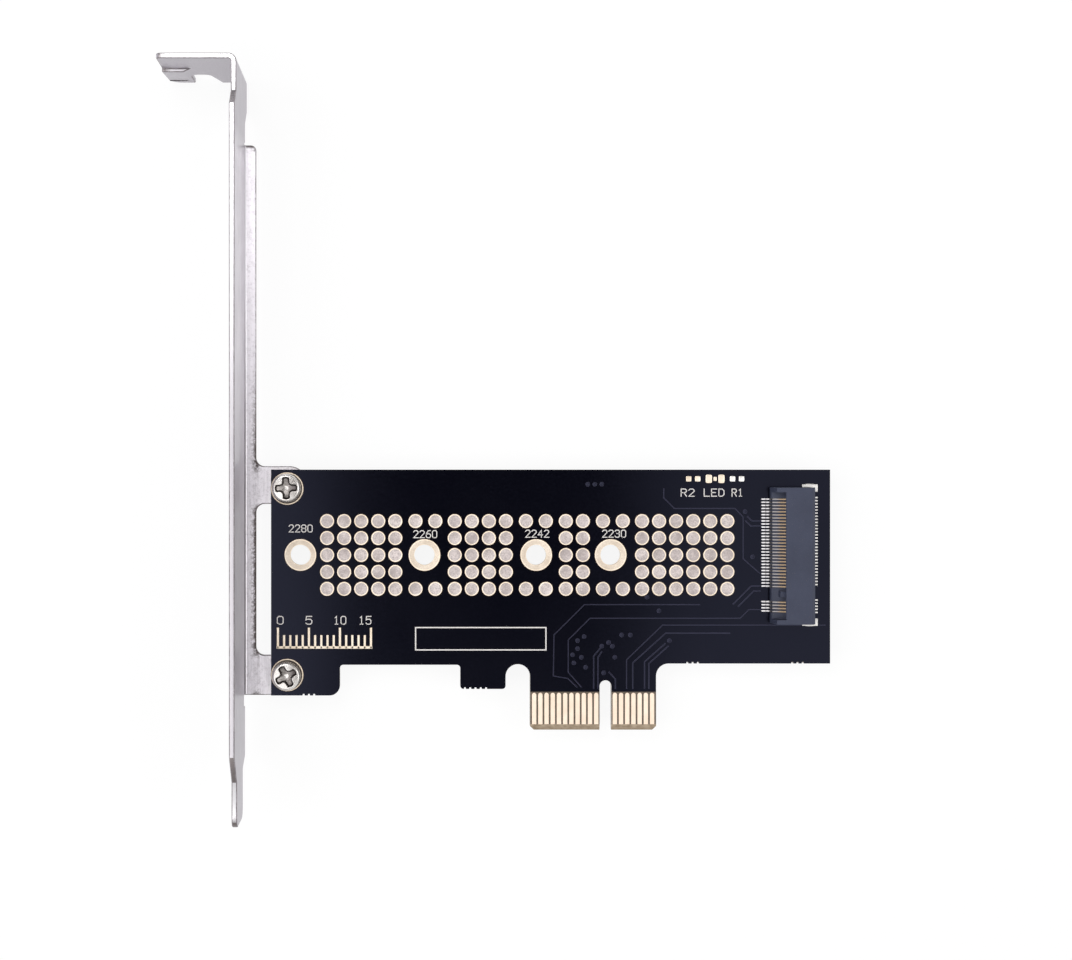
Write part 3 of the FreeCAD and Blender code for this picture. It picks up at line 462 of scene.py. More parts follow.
def bridge(mesh, inner, outer, finish=0):
    """Faces between two rings, one of which may have fewer points; finish may be a list over outer."""
    longer = max(len(inner), len(outer))
    finishes = finish if isinstance(finish, list) else [finish] * len(outer)
    for step in range(longer):
        after = (step + 1) % longer
        near, far = step * len(outer) // longer, after * len(outer) // longer
        corners = (inner[step * len(inner) // longer], inner[after * len(inner) // longer],
                   outer[far], outer[near])
        corners = list(dict.fromkeys(corners))
        if len(corners) > 2:
            mesh.faces.new(corners).material_index = finishes[near]


def skin(mesh, rings, closed=False):
    """Shell over rings of points, joined end to end if closed, and otherwise capped."""
    for inner, outer in zip(rings, rings[1:] + (rings[:1] if closed else [])):
        bridge(mesh, inner, outer)
    if not closed:
        for end in (rings[0], rings[-1]):
            if len(end) > 2:
                mesh.faces.new(end)


def lathe(mesh, spot, profile, sides, closed=False):
    """Turn a profile of (radius, height, material index) about the vertical through spot."""
    rings = [ring(mesh, spot, radius, height, sides if radius else 1) for radius, height, _ in profile]
    for inner, outer, (_, _, index) in zip(rings, rings[1:] + (rings[:1] if closed else []), profile):
        bridge(mesh, inner, outer, index)


def draw_line(mesh, points, width, height, base, side=1, closed=False):
    """Raised flat line along points, with mitred corners and sloping edges."""
    spots = [Vector(p) for p in points]
    last = len(spots) - 1
    slope = min(0.3 * width, height)
    sections = []
    for i, spot in enumerate(spots):
        back = (spot - spots[i - 1]).normalized() if i or closed else None
        ahead = (spots[(i + 1) % len(spots)] - spot).normalized() if i < last or closed else None
        if back is None:
            spot, back = spot - ahead * width / 2, ahead
        if ahead is None:
            spot, ahead = spot + back * width / 2, back
        across = Vector((-(back + ahead).y, (back + ahead).x)).normalized()
        reach = 1 / max(0.5, math.sqrt((1 + back.dot(ahead)) / 2))
        row = []
        for offset, level in ((-width / 2, 0), (slope - width / 2, height), (width / 2 - slope, height),
                              (width / 2, 0)):
            flat = spot + across * offset * reach
            row.append(mesh.verts.new((flat.x, flat.y, base + side * level)))
        sections.append(row)
    skin(mesh, sections, closed)


def make_rounded(node, name, width, materials, crease=30):
    """A CAD node's own form with its edges rounded; the rounds take the last of the materials."""
    mesh = bmesh.new()
    mesh.from_mesh(nodes[node].data)
    bmesh.ops.remove_doubles(mesh, verts=mesh.verts, dist=WELD)
    bmesh.ops.dissolve_limit(mesh, angle_limit=math.radians(1), verts=mesh.verts, edges=mesh.edges)
    for face in mesh.faces:
        face.material_index = 0
    creases = [edge for edge in mesh.edges
               if len(edge.link_faces) == 2 and edge.calc_face_angle(0) > math.radians(crease)]
    bmesh.ops.bevel(mesh, geom=creases, offset=width, segments=3, profile=0.5, affect="EDGES",
                    material=len(materials) - 1)
    low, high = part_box(node)
    for vertex in mesh.verts:
        vertex.co = [min(max(vertex.co[i], low[i]), high[i]) for i in range(3)]
    piece = finish_piece(name, mesh, materials, (node,))
    piece.modifiers.new("even", "WEIGHTED_NORMAL").keep_sharp = True


# ---- Board, bracket and socket: CAD nodes with their finish ----
BRACKET_ROUND = 0.16 * MM
HOUSING_ROUND = 0.05 * MM
HOLD_DOWN_ROUND = 0.06 * MM

board_data = nodes["circuit_board"].data
board_data.materials.clear()
board_data.materials.append(BOARD)
# The bracket's rounded edges take the painted edge shade.
make_rounded("slot_bracket", "slot_bracket_rounded", BRACKET_ROUND, (NICKEL, NICKEL_EDGE_SHADE),
             crease=75)
make_rounded("m2_housing", "socket_housing", HOUSING_ROUND, (HOUSING,))
make_rounded("m2_hold_downs", "socket_hold_downs", HOLD_DOWN_ROUND, (TIN,))


# ---- Lands and plated holes ----
LAND_RIM = 0.2 * MM
EDGE_ROUND = 0.02 * MM
MASK_LAP = 0.06 * MM
LAND_SIDES = 40
HOLE_SIDES = 72
STANDOFF_BORE = 1.65 * MM
SCREW_HOLE = 1.4 * MM
# Sides of the frame's many-sided lands and plated holes
FRAME_LAND_SIDES = 8
FRAME_HOLE_SIDES = 16


def reach_of(low, high, sides):
    """From the middle to a corner of a many-sided disc that fills the box from low to high."""
    return (high.y - low.y) / 2 / math.cos(math.pi / sides)


def make_lands():
    """Each land as a bright rim round a speckled face that lies a little lower."""
    mesh = bmesh.new()
    face = copper - 0.5 * EDGE_ROUND
    for low, high in solids_of("thermal_lands"):
        radius = reach_of(low, high, FRAME_LAND_SIDES)
        middle = (low + high) / 2
        lathe(mesh, Vector((middle.x, middle.y, front_face)), [
            (0, 0, 0),
            (radius, 0, 2),
            (radius, 0.4 * copper, 2),
            (radius - MASK_LAP, copper, 0),
            (radius - LAND_RIM, copper, 0),
            (radius - LAND_RIM - EDGE_ROUND, face, 1),
            (0, face, 1),
        ], LAND_SIDES)
    finish_piece("land_field", mesh, (GOLD_RING, LAND_FACE, LAND_EDGE), ("thermal_lands",))


def make_eyelet(name, bore, band, both_sides):
    """Plated hole: bright outer rim, a ring of the band material and a rounded mouth into the barrel."""
    low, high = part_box(name)
    radius = reach_of(low, high, FRAME_HOLE_SIDES)
    middle = (low + high) / 2
    top = front_face + copper
    barrel = bore + 2 * copper
    face = [
        (bore, top - 2 * EDGE_ROUND, 0),
        (bore + 2 * EDGE_ROUND, top, 0),
        (bore + 4 * EDGE_ROUND, top, 1),
        (radius - 1.1 * LAND_RIM, top - 0.3 * EDGE_ROUND, 0),
        (radius - LAND_RIM, top, 0),
        (radius - MASK_LAP, top, 2),
        (radius, top - 0.6 * copper, 2),
        (radius, front_face, 0),
        (barrel, front_face, 0),
    ]
    if both_sides:
        rear = [(r, -z, face[max(0, k - 1)][2]) for k, (r, z, _) in reversed(list(enumerate(face)))]
    else:
        rear = [(barrel, back_face, 0), (bore, back_face, 0)]
    mesh = bmesh.new()
    lathe(mesh, Vector((middle.x, middle.y, 0)), face + rear, HOLE_SIDES, closed=True)
    finish_piece(name + "_plating", mesh, (GOLD_RING, band, LAND_EDGE), (name,))


make_lands()
for drive in DRIVES:
    make_eyelet("standoff_eyelet_" + drive, STANDOFF_BORE, GOLD_BAND, True)
for eyelet in BRACKET_EYELETS:
    make_eyelet(eyelet, SCREW_HOLE, SHADED_BAND, False)


# ---- Edge fingers, with rounded upper ends ----
FINGER_LIP = 0.012 * MM
END_STEPS = 8


def add_slab(mesh, outline, base, top, lip):
    """Flat slab over an outline, from base to top, whose upper edge is cut back by lip."""
    count = len(outline)
    middle = Vector((sum(p[0] for p in outline) / count, sum(p[1] for p in outline) / count))
    up = 1 if top > base else -1
    rows = []
    for inset, level in ((0, base), (0, top - up * lip), (lip, top)):
        row = []
        for point in outline:
            away = Vector(point) - middle
            flat = middle + away * (1 - inset / away.length)
            row.append(mesh.verts.new((flat.x, flat.y, level)))
        rows.append(row)
    skin(mesh, rows)


def make_fingers(node, side):
    """Gold fingers of one face, each rounded at its upper end."""
    mesh = bmesh.new()
    face = front_face if side > 0 else back_face
    for low, high in solids_of(node):
        radius, middle = (high.x - low.x) / 2, (low.x + high.x) / 2
        outline = [(low.x, low.y), (high.x, low.y)]
        for step in range(END_STEPS + 1):
            turn = math.pi * step / END_STEPS
            outline.append((middle + radius * math.cos(turn), high.y - radius + radius * math.sin(turn)))
        add_slab(mesh, outline, face, face + side * copper, FINGER_LIP)
    finish_piece(node + "_plated", mesh, (GOLD,), (node,))


make_fingers("edge_fingers_front", 1)
make_fingers("edge_fingers_back", -1)


# ---- Soldering lands of the unfitted parts, domed with solder ----
DOME_STEPS = 12
LAND_DOME = 0.05 * MM
SPOT_DOME = 0.03 * MM
LAMP_SPOT = Vector((0.5 * MM, 0.66 * MM, 0))


def dome_pad(mesh, low, high, rise):
    """Rounded-corner pad from low to high with a solder dome that rises over its middle."""
    last = DOME_STEPS
    middle, half = (low + high) / 2, (high - low) / 2
    grid = []
    for i in range(last + 1):
        row = []
        for j in range(last + 1):
            u, v = 2 * i / last - 1, 2 * j / last - 1
            pull = 1 - 0.1 * (abs(u * v) ** 3)
            level = front_face + copper + rise * (1 - u ** 4) * (1 - v ** 4)
            row.append(mesh.verts.new((middle.x + half.x * u * pull, middle.y + half.y * v * pull, level)))
        grid.append(row)
    for i in range(last):
        for j in range(last):
            mesh.faces.new((grid[i][j], grid[i + 1][j], grid[i + 1][j + 1], grid[i][j + 1]))
    rim = ([grid[i][0] for i in range(last)] + [grid[last][j] for j in range(last)]
           + [grid[i][last] for i in range(last, 0, -1)] + [grid[0][j] for j in range(last, 0, -1)])
    foot = [mesh.verts.new((v.co.x, v.co.y, front_face)) for v in rim]
    bridge(mesh, foot, rim)
    mesh.faces.new(foot)


def make_pads(node, material, between=None):
    """Domed pads in place of a node's lands, and one more between them if its size is given."""
    mesh = bmesh.new()
    for low, high in solids_of(node):
        dome_pad(mesh, low, high, LAND_DOME)
    if between:
        dome_pad(mesh, centre(node) - between / 2, centre(node) + between / 2, SPOT_DOME)
    finish_piece(node + "_soldered", mesh, (material,), (node,))


make_pads("lamp_lands", PAD, LAMP_SPOT)
make_pads("resistor_lands_near", PAD)
make_pads("resistor_lands_far", TIN)


# ---- Bracket screws: flat-domed head with a cross recess, and a fine thread ----
SCREW_TURNS = {"lower": 28, "upper": 2}
HEAD_SIDES = 192
HEAD_RINGS = 84
CENTRE_RINGS = 13
HEAD_FLAT = 1.92 * MM
CROWN_DROP = 0.07 * MM
SHOULDER_DROP = 0.8 * MM
HEAD_WALL = 0.25 * MM
SEAT_INSET = 0.06 * MM
CROSS_REACH = 1.7 * MM
CROSS_ARM = 0.46 * MM
CROSS_FLARE = 0.16 * MM
FLARE_FROM_CENTRE = 0.55 * MM
FLARE_SPREAD = 0.28 * MM
TIP_ROUND = 0.12 * MM
CROSS_DEPTH = 1.0 * MM
CROSS_WALL = 0.3 * MM
SHANK = 1.25 * MM
SHANK_SIDES = 64
THREAD_PITCH = 0.45 * MM
THREAD_DEPTH = 0.11 * MM
POINT_LENGTH = 0.35 * MM
POINT_TAPER = 0.3 * MM


def recess_depth(x, y):
    """Depth of the cross recess under the head's surface, and its share of the full wall."""
    long, short = max(abs(x), abs(y)), min(abs(x), abs(y))
    arm = CROSS_ARM + CROSS_FLARE * math.exp(-((long - FLARE_FROM_CENTRE) / FLARE_SPREAD) ** 2)
    tip = CROSS_REACH - TIP_ROUND * (short / CROSS_ARM) ** 2
    inside = min(arm - short, tip - long)
    wall = min(1.0, max(0.0, inside / CROSS_WALL + 0.5))
    floor = CROSS_DEPTH * (1 - 0.5 * (long / CROSS_REACH) ** 2)
    return floor * wall * wall * (3 - 2 * wall), wall


def head_ring(mesh, spot, number, radius, top, turn):
    """One ring of the head's domed face, and the material index of each of its points."""
    across = radius * number / HEAD_RINGS
    past = max(0.0, across - HEAD_FLAT) / (radius - HEAD_FLAT)
    shoulder = SHOULDER_DROP * (1 - math.sqrt(1 - min(1, past) ** 2))
    level = top - CROWN_DROP * (across / HEAD_FLAT) ** 2 - shoulder
    points, finishes = [], []
    for step in range(HEAD_SIDES if number else 1):
        angle = 2 * math.pi * step / HEAD_SIDES
        depth, wall = recess_depth(across * math.cos(angle), across * math.sin(angle))
        points += ring(mesh, spot, across, level - depth, 1, angle + turn)
        # The recess takes the painted-shade floor and walls; the middle of its floor keeps the head's steel.
        if wall < 0.1 or (wall == 1 and number <= CENTRE_RINGS):
            finishes.append(0)
        else:
            finishes.append(1 if wall == 1 else 2)
    return points, finishes


def thread_ring(mesh, spot, height, low, turn):
    """One ring of the threaded shank, which narrows towards its point at the height low."""
    points = []
    for step in range(SHANK_SIDES):
        angle = 2 * math.pi * step / SHANK_SIDES
        wave = abs(((height / THREAD_PITCH + angle / (2 * math.pi)) % 1) * 2 - 1)
        point = min(1.0, (height - low) / POINT_LENGTH)
        reach = SHANK - THREAD_DEPTH * wave - POINT_TAPER * (1 - point)
        points += ring(mesh, spot, reach, height, 1, angle + turn)
    return points


def make_screw(name, low, high):
    """Screw in the box from low to high."""
    turn = math.radians(SCREW_TURNS[name])
    radius, seat = (high.y - low.y) / 2, front_face + copper
    spot = Vector(((low.x + high.x) / 2, (low.y + high.y) / 2, 0))
    mesh = bmesh.new()
    rings, finishes = [], []
    for number in range(HEAD_RINGS + 1):
        points, materials = head_ring(mesh, spot, number, radius, high.z, turn)
        rings.append(points)
        finishes.append(materials)
    rings.append(ring(mesh, spot, radius, seat + HEAD_WALL, HEAD_SIDES, turn))
    rings.append(ring(mesh, spot, radius - SEAT_INSET, seat, HEAD_SIDES, turn))
    levels = int((seat - low.z) / (THREAD_PITCH / 8))
    for level in range(levels + 1):
        rings.append(thread_ring(mesh, spot, seat - level * (seat - low.z) / levels, low.z, turn))
    finishes += [0] * (len(rings) - len(finishes))
    for inner, outer, finish in zip(rings, rings[1:], finishes[1:]):
        bridge(mesh, inner, outer, finish)
    mesh.faces.new(rings[-1])
    finish_piece(name + "_bracket_screw", mesh, (SCREW_STEEL, SCREW_FLOOR_SHADE, SCREW_WALL_SHADE),
                 ("bracket_screws",), sharp=60)


for screw, box in zip(("lower", "upper"), sorted(solids_of("bracket_screws"), key=lambda pair: pair[0].y)):
    make_screw(screw, *box)


# ---- Socket: formed contacts, their solder, and the springs under the jaw ----
SHEET = 0.15 * MM
SPRING_SHEET = 0.1 * MM
BEND_STEPS = 4
LOWER_BEND = 0.14 * MM
UPPER_BEND = 0.16 * MM
SPRING_BEND = 0.25 * MM
FOOT_CUT = 0.3 * MM
MOUND_STEPS = 4
MOUND_SIDES = 12
# Half length, half width and height of the solder at each kind of foot
TAIL_MOUND = (0.38 * MM, 0.11 * MM, 0.1 * MM)
FOOT_MOUND = (0.28 * MM, 0.11 * MM, 0.1 * MM)
HOLD_DOWN_MOUND = (0.8 * MM, 0.1 * MM, 0.15 * MM)
TAIL_MOUND_IN = 0.3 * MM
FOOT_MOUND_IN = 0.25 * MM


def round_bends(points, radius):
    """The path with each inner corner swapped for a short arc."""
    spots = [Vector(p) for p in points]
    path = [spots[0]]
    for before, corner, after in zip(spots, spots[1:], spots[2:]):
        back, ahead = before - corner, after - corner
        reach = min(radius, 0.45 * back.length, 0.45 * ahead.length)
        start, end = corner + back.normalized() * reach, corner + ahead.normalized() * reach
        for step in range(BEND_STEPS + 1):
            t = step / BEND_STEPS
            path.append(start * (1 - t) ** 2 + corner * 2 * t * (1 - t) + end * t ** 2)
    path.append(spots[-1])
    return path


def add_ribbon(mesh, path, y, width, sheet):
    """Strip of sheet that follows a path of (x, z), centred on y."""
    rows = []
    for k, spot in enumerate(path):
        ahead = path[min(k + 1, len(path) - 1)] - path[max(k - 1, 0)]
        normal = Vector((-ahead.y, ahead.x)).normalized() * sheet / 2
        row = []
        for side, level in ((-1, -1), (-1, 1), (1, 1), (1, -1)):
            row.append(mesh.verts.new((spot.x + level * normal.x, y + side * width / 2,
                                       spot.y + level * normal.y)))
        rows.append(row)
    skin(mesh, rows)


def add_mound(mesh, x, y, half_length, half_width, height):
    """Low solder mound, highest in the middle, on the board."""
    angles = [2 * math.pi * side / MOUND_SIDES for side in range(MOUND_SIDES)]
    rings = []
    for step in range(MOUND_STEPS):
        share = 1 - step / MOUND_STEPS
        level = front_face + height * (1 - share ** 2)
        rings.append([mesh.verts.new((x + share * half_length * math.cos(angle),
                                      y + share * half_width * math.sin(angle), level)) for angle in angles])
    skin(mesh, rings + [[mesh.verts.new((x, y, front_face + height))]])


def make_contacts(name, node, points, bend, sheet, material, replaced=()):
    """Row of strips bent along points of (x, z), one at each solid of a node."""
    mesh = bmesh.new()
    path = round_bends(points, bend)
    for low, high in solids_of(node):
        add_ribbon(mesh, path, (low.y + high.y) / 2, high.y - low.y, sheet)
    finish_piece(name, mesh, (material,), replaced)


def make_socket_solder():
    """Solder under and round every tail, and at the two hold-down feet."""
    mesh = bmesh.new()
    for low, high in solids_of("m2_lower_contacts"):
        add_mound(mesh, low.x + TAIL_MOUND_IN, (low.y + high.y) / 2, *TAIL_MOUND)
    for low, high in solids_of("m2_upper_contacts"):
        add_mound(mesh, high.x - FOOT_CUT - FOOT_MOUND_IN, (low.y + high.y) / 2, *FOOT_MOUND)
    for low, high in solids_of("m2_hold_downs"):
        outer = high.y if high.y > centre("m2_housing").y else low.y
        add_mound(mesh, (low.x + high.x) / 2, outer, *HOLD_DOWN_MOUND)
    finish_piece("socket_solder", mesh, (TIN,))


# Tail on its land, riser at the lip, and a long spring up into the drive's slot
row_low, row_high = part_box("m2_lower_contacts")
mouth = housing_low.x
make_contacts("lower_contacts_formed", "m2_lower_contacts", (
    (row_low.x, front_face + 0.1 * MM),
    (row_low.x + 0.55 * MM, front_face + 0.08 * MM),
    (row_low.x + 0.72 * MM, front_face + 0.17 * MM),
    (mouth + 0.02 * MM, front_face + 0.17 * MM),
    (mouth + 0.12 * MM, front_face + 1.2 * MM),
    (mouth + 1.0 * MM, front_face + 1.5 * MM),
    (row_high.x - 0.5 * MM, row_high.z - 0.1 * MM),
    (row_high.x, row_high.z - 0.22 * MM),
), LOWER_BEND, SHEET, CONTACT, ("m2_lower_contacts",))

# Bent foot behind the housing
row_low, row_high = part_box("m2_upper_contacts")
make_contacts("upper_contacts_formed", "m2_upper_contacts", (
    (row_low.x + SHEET / 2, row_high.z),
    (row_low.x + SHEET / 2, front_face + 0.45 * MM),
    (row_low.x + 0.45 * MM, front_face + 0.12 * MM),
    (row_high.x - FOOT_CUT, front_face + 0.1 * MM),
), UPPER_BEND, SHEET, TIN, ("m2_upper_contacts",))

# Spring that hangs from the slot's ceiling towards the drive
ceiling = front_face + 3.4 * MM
stop = housing_high.x - 2.2 * MM
make_contacts("upper_springs", "m2_upper_contacts", (
    (stop, ceiling - 0.1 * MM),
    (stop - 1.2 * MM, ceiling - 0.16 * MM),
    (stop - 1.9 * MM, ceiling - 0.42 * MM),
    (stop - 2.3 * MM, ceiling - 0.12 * MM),
), SPRING_BEND, SPRING_SHEET, CONTACT)
make_socket_solder()


# ---- Traces and vias under the mask, in millimetres from the frame's origin at the key notch ----
TRACE_HEIGHT = 0.03 * MM
WIDE = 0.16 * MM
FINE = 0.2 * MM
VIA_SIDES = 20
VIA_RADIUS = 0.36 * MM
VIA_EDGE = 0.03 * MM
VIA_RIM = 0.2 * MM
VIA_DIMPLE = 0.12 * MM
FRONT_TRACES = (
    (WIDE, ((15.2, 20.2), (-3.4, 20.2), (-8.3, 15.3), (-8.4, 8.7), (-6.1, 8.3), (-4.6, 6.9))),
    (WIDE, ((25.0, 19.4), (23.1, 19.4), (21.7, 18.0), (-2.5, 18.0), (-6.0, 14.5), (-6.0, 9.3), (-3.9, 6.9))),
    (WIDE, ((35.4, 16.9), (9.2, 16.9), (3.4, 11.3), (3.4, 6.7))),
    (FINE, ((20.0, 15.6), (9.7, 15.6), (4.4, 10.8), (4.4, 6.7))),
    (FINE, ((9.6, 13.9), (6.3, 11.0), (6.3, 6.7))),
    (FINE, ((10.1, 13.5), (7.0, 10.7), (7.0, 6.7))),
    (FINE, ((-0.9, 13.1), (-1.9, 11.9), (-1.9, 6.7))),
    (FINE, ((-0.6, 12.6), (-1.2, 11.7), (-1.2, 6.7))),
    (FINE, ((0.6, 9.3), (1.6, 8.2), (1.6, 6.7))),
    (WIDE, ((9.4, 38.9), (9.4, 37.4), (11.1, 35.7), (20.9, 35.7), (22.2, 34.3), (22.2, 27.6), (24.8, 25.3))),
    (FINE, ((22.9, 34.4), (23.6, 33.7), (25.0, 33.7))),
    (FINE, ((22.6, 33.7), (23.4, 32.9), (25.0, 32.9))),
    (FINE, ((20.6, 20.3), (23.5, 23.2), (24.9, 23.2))),
    (FINE, ((21.4, 19.9), (23.9, 22.4), (24.9, 22.4))),
)
FRONT_VIAS = (
    (-3.45, 15.05), (-4.5, 14.4), (-4.5, 13.1), (-5.3, 12.1), (-5.1, 10.8), (-3.9, 11.7), (-3.2, 10.1),
    (-0.6, 13.5), (0.5, 14.1), (1.1, 13.5), (2.6, 15.3), (4.0, 15.3), (1.5, 11.7), (-0.3, 9.2), (10.3, 14.4),
    (-2.85, 39.6), (-1.72, 39.6), (-0.6, 39.6), (6.7, 21.4), (22.5, 35.2), (23.7, 27.9), (8.6, 19.2),
)
BACK_TRACES = (
    (WIDE, ((31.0, 36.4), (22.6, 36.4), (20.0, 33.8), (20.0, 21.2), (17.2, 18.4), (1.0, 18.4), (-2.6, 14.8),
            (-2.6, 6.7))),
    (FINE, ((30.2, 30.1), (24.4, 30.1), (22.0, 27.7), (22.0, 19.6), (18.6, 16.2), (5.9, 16.2), (2.6, 12.9),
            (2.6, 6.7))),
    (FINE, ((30.2, 29.3), (24.8, 29.3), (22.8, 27.3), (22.8, 19.2), (19.0, 15.4), (6.3, 15.4), (3.6, 12.7),
            (3.6, 6.7))),
    (FINE, ((10.3, 14.4), (7.9, 14.4), (5.5, 12.0), (5.5, 6.7))),
    (FINE, ((-4.5, 13.1), (-6.6, 11.0), (-6.6, 6.7))),
    (FINE, ((-5.3, 12.1), (-7.6, 9.8), (-7.6, 6.7))),
    (WIDE, ((-9.6, 20.2), (-43.0, 20.2), (-45.6, 17.6), (-45.6, 12.0))),
)
BACK_VIAS = (
    (-4.5, 13.1), (-5.3, 12.1), (0.5, 14.1), (10.3, 14.4), (-1.72, 39.6), (-0.6, 39.6), (6.7, 21.4),
    (23.7, 27.9), (8.6, 19.2), (31.0, 36.4), (30.2, 30.1), (-9.6, 20.2),
)


def make_traces(name, traces, vias, face, side):
    """Traces and tented vias of one face."""
    mesh = bmesh.new()
    level = side * TRACE_HEIGHT
    for width, points in traces:
        draw_line(mesh, [(x * MM, y * MM) for x, y in points], width, TRACE_HEIGHT, face, side)
    for x, y in vias:
        lathe(mesh, Vector((x * MM, y * MM, face)), [
            (0, 0, 0),
            (VIA_RADIUS, 0, 0),
            (VIA_RADIUS - VIA_EDGE, level, 0),
            (VIA_RIM, level, 0),
            (VIA_DIMPLE, 0.2 * level, 0),
            (0, 0.1 * level, 0),
        ], VIA_SIDES)
    finish_piece(name, mesh, (TRACE,))


make_traces("front_traces", FRONT_TRACES, FRONT_VIAS, front_face, 1)
make_traces("back_traces", BACK_TRACES, BACK_VIAS, back_face, -1)


# ---- Print ----
INK_HEIGHT = 0.015 * MM
STROKE = 0.15 * MM
# Each glyph is strokes over a grid, and takes its share of the step from letter to letter
GLYPH_WIDE, GLYPH_HIGH = 4, 6
GLYPH_SHARE = 0.7
GLYPHS = {
    "0": (((1, 0), (3, 0), (4, 1), (4, 5), (3, 6), (1, 6), (0, 5), (0, 1), (1, 0)),),
    "1": (((1, 5), (2, 6), (2, 0)), ((1, 0), (3, 0))),
    "2": (((0, 5), (1, 6), (3, 6), (4, 5), (4, 4), (0, 0), (4, 0)),),
    "3": (((0, 5), (1, 6), (3, 6), (4, 5), (4, 4), (3, 3.2), (1.6, 3.2)),
          ((3, 3.2), (4, 2.3), (4, 1), (3, 0), (1, 0), (0, 1))),
    "4": (((3, 0), (3, 6), (0, 2), (4, 2)),),
    "5": (((4, 6), (0.4, 6), (0, 3.2), (1, 3.8), (3, 3.8), (4, 2.8), (4, 1), (3, 0), (1, 0), (0, 0.8)),),
    "6": (((3.6, 6), (2, 6), (0.5, 4), (0, 2), (0, 1), (1, 0), (3, 0), (4, 1), (4, 2.4), (3, 3.4), (1, 3.4),
           (0.3, 2.6)),),
    "8": (((1, 3.2), (0, 4), (0, 5), (1, 6), (3, 6), (4, 5), (4, 4), (3, 3.2), (1, 3.2), (0, 2.2), (0, 1),
           (1, 0), (3, 0), (4, 1), (4, 2.2), (3, 3.2)),),
    "R": (((0, 0), (0, 6), (3, 6), (4, 5), (4, 4), (3, 3), (0, 3)), ((2, 3), (4, 0))),
    "L": (((0, 6), (0, 0), (4, 0)),),
    "E": (((4, 6), (0, 6), (0, 0), (4, 0)), ((0, 3.1), (3, 3.1))),
    "D": (((0, 0), (0, 6), (2.6, 6), (4, 4.6), (4, 1.4), (2.6, 0), (0, 0)),),
}
# (drive length, text's left end from the hole's centre, its foot above that centre), millimetres
DRIVE_LABELS = (("80", -1.82, 3.7), ("60", -1.74, 2.78), ("42", -1.7, 2.86), ("30", -1.3, 2.86))
DRIVE_LABEL_WIDTH = 3.72 * MM
DRIVE_LABEL_HEIGHT = 1.14 * MM
# (node, text, its left end from the node's centre, its width), millimetres
PART_LABELS = (("resistor_lands_near", "R2", -1.94, 2.1), ("lamp_lands", "LED", -1.76, 3.2),
               ("resistor_lands_far", "R1", -0.8, 1.72))
PART_LABEL_HEIGHT = 1.16 * MM
PART_LABEL_DROP = 2.8 * MM
BOX_LINE = 0.2 * MM
BOX_LEFT, BOX_FOOT = 23.3 * MM, 12.9 * MM
BOX_WIDTH, BOX_HEIGHT = 21.0 * MM, 3.6 * MM


def write(mesh, text, x, y, width, height):
    """Text in a box of that width and height, with its lower left corner at x, y."""
    step = width / (len(text) - 1 + GLYPH_SHARE)
    across, up = GLYPH_SHARE * step / GLYPH_WIDE, height / GLYPH_HIGH
    for number, letter in enumerate(text):
        for stroke in GLYPHS[letter]:
            points = [(x + number * step + across * u, y + up * v) for u, v in stroke]
            draw_line(mesh, points, STROKE, INK_HEIGHT, front_face)


def make_print():
    """Drive lengths over their holes, names of the unfitted parts, and an empty write-on box."""
    mesh = bmesh.new()
    for drive, aside, above in DRIVE_LABELS:
        spot = centre("standoff_eyelet_" + drive)
        write(mesh, "22" + drive, spot.x + aside * MM, spot.y + above * MM, DRIVE_LABEL_WIDTH,
              DRIVE_LABEL_HEIGHT)
    under = centre("lamp_lands").y - PART_LABEL_DROP
    for node, text, aside, width in PART_LABELS:
        write(mesh, text, centre(node).x + aside * MM, under, width * MM, PART_LABEL_HEIGHT)
    left, low = board_low.x + BOX_LEFT, board_low.y + BOX_FOOT
    right, high = left + BOX_WIDTH, low + BOX_HEIGHT
    draw_line(mesh, ((left, low), (right, low), (right, high), (left, high)), BOX_LINE, INK_HEIGHT,
              front_face, closed=True)
    finish_piece("board_print", mesh, (INK,))


# ---- Plain scale beside the bracket ----
SCALE_LENGTH = 15
SCALE_LEFT, SCALE_FOOT = 1.1 * MM, 13.3 * MM
SCALE_LINE = 0.42 * MM
TICK_LINE = 0.36 * MM
TICK_EVERY, NUMBER_EVERY = 1, 5
SHORT_TICK = 1.8 * MM
LONG_TICK = 3.0 * MM
NUMBER_WIDTH = 0.95 * MM
NUMBER_HEIGHT = 1.25 * MM
NUMBER_FOOT = 3.75 * MM
NUMBER_LAP = 0.1 * MM


def make_scale():
    """Scale of millimetres in bare gold, with its fives numbered in print."""
    gold, ink = bmesh.new(), bmesh.new()
    left, low = board_low.x + SCALE_LEFT, board_low.y + SCALE_FOOT
    right = left + SCALE_LENGTH * MM
    draw_line(gold, ((left, low), (right, low)), SCALE_LINE, copper, front_face)
    for tick in range(0, SCALE_LENGTH + 1, TICK_EVERY):
        x = left + tick * MM
        high = low + (SHORT_TICK if tick % NUMBER_EVERY else LONG_TICK)
        draw_line(gold, ((x, low), (x, high)), TICK_LINE, copper, front_face)
    for tick in range(0, SCALE_LENGTH + 1, NUMBER_EVERY):
        width = NUMBER_WIDTH * len(str(tick))
        x = min(left + tick * MM - width / 2, right - width)
        write(ink, str(tick), max(x, left - NUMBER_LAP), low + NUMBER_FOOT, width, NUMBER_HEIGHT)
    finish_piece("scale_ticks", gold, (GOLD_RING,))
    finish_piece("scale_numbers", ink, (INK,))


make_print()
make_scale()


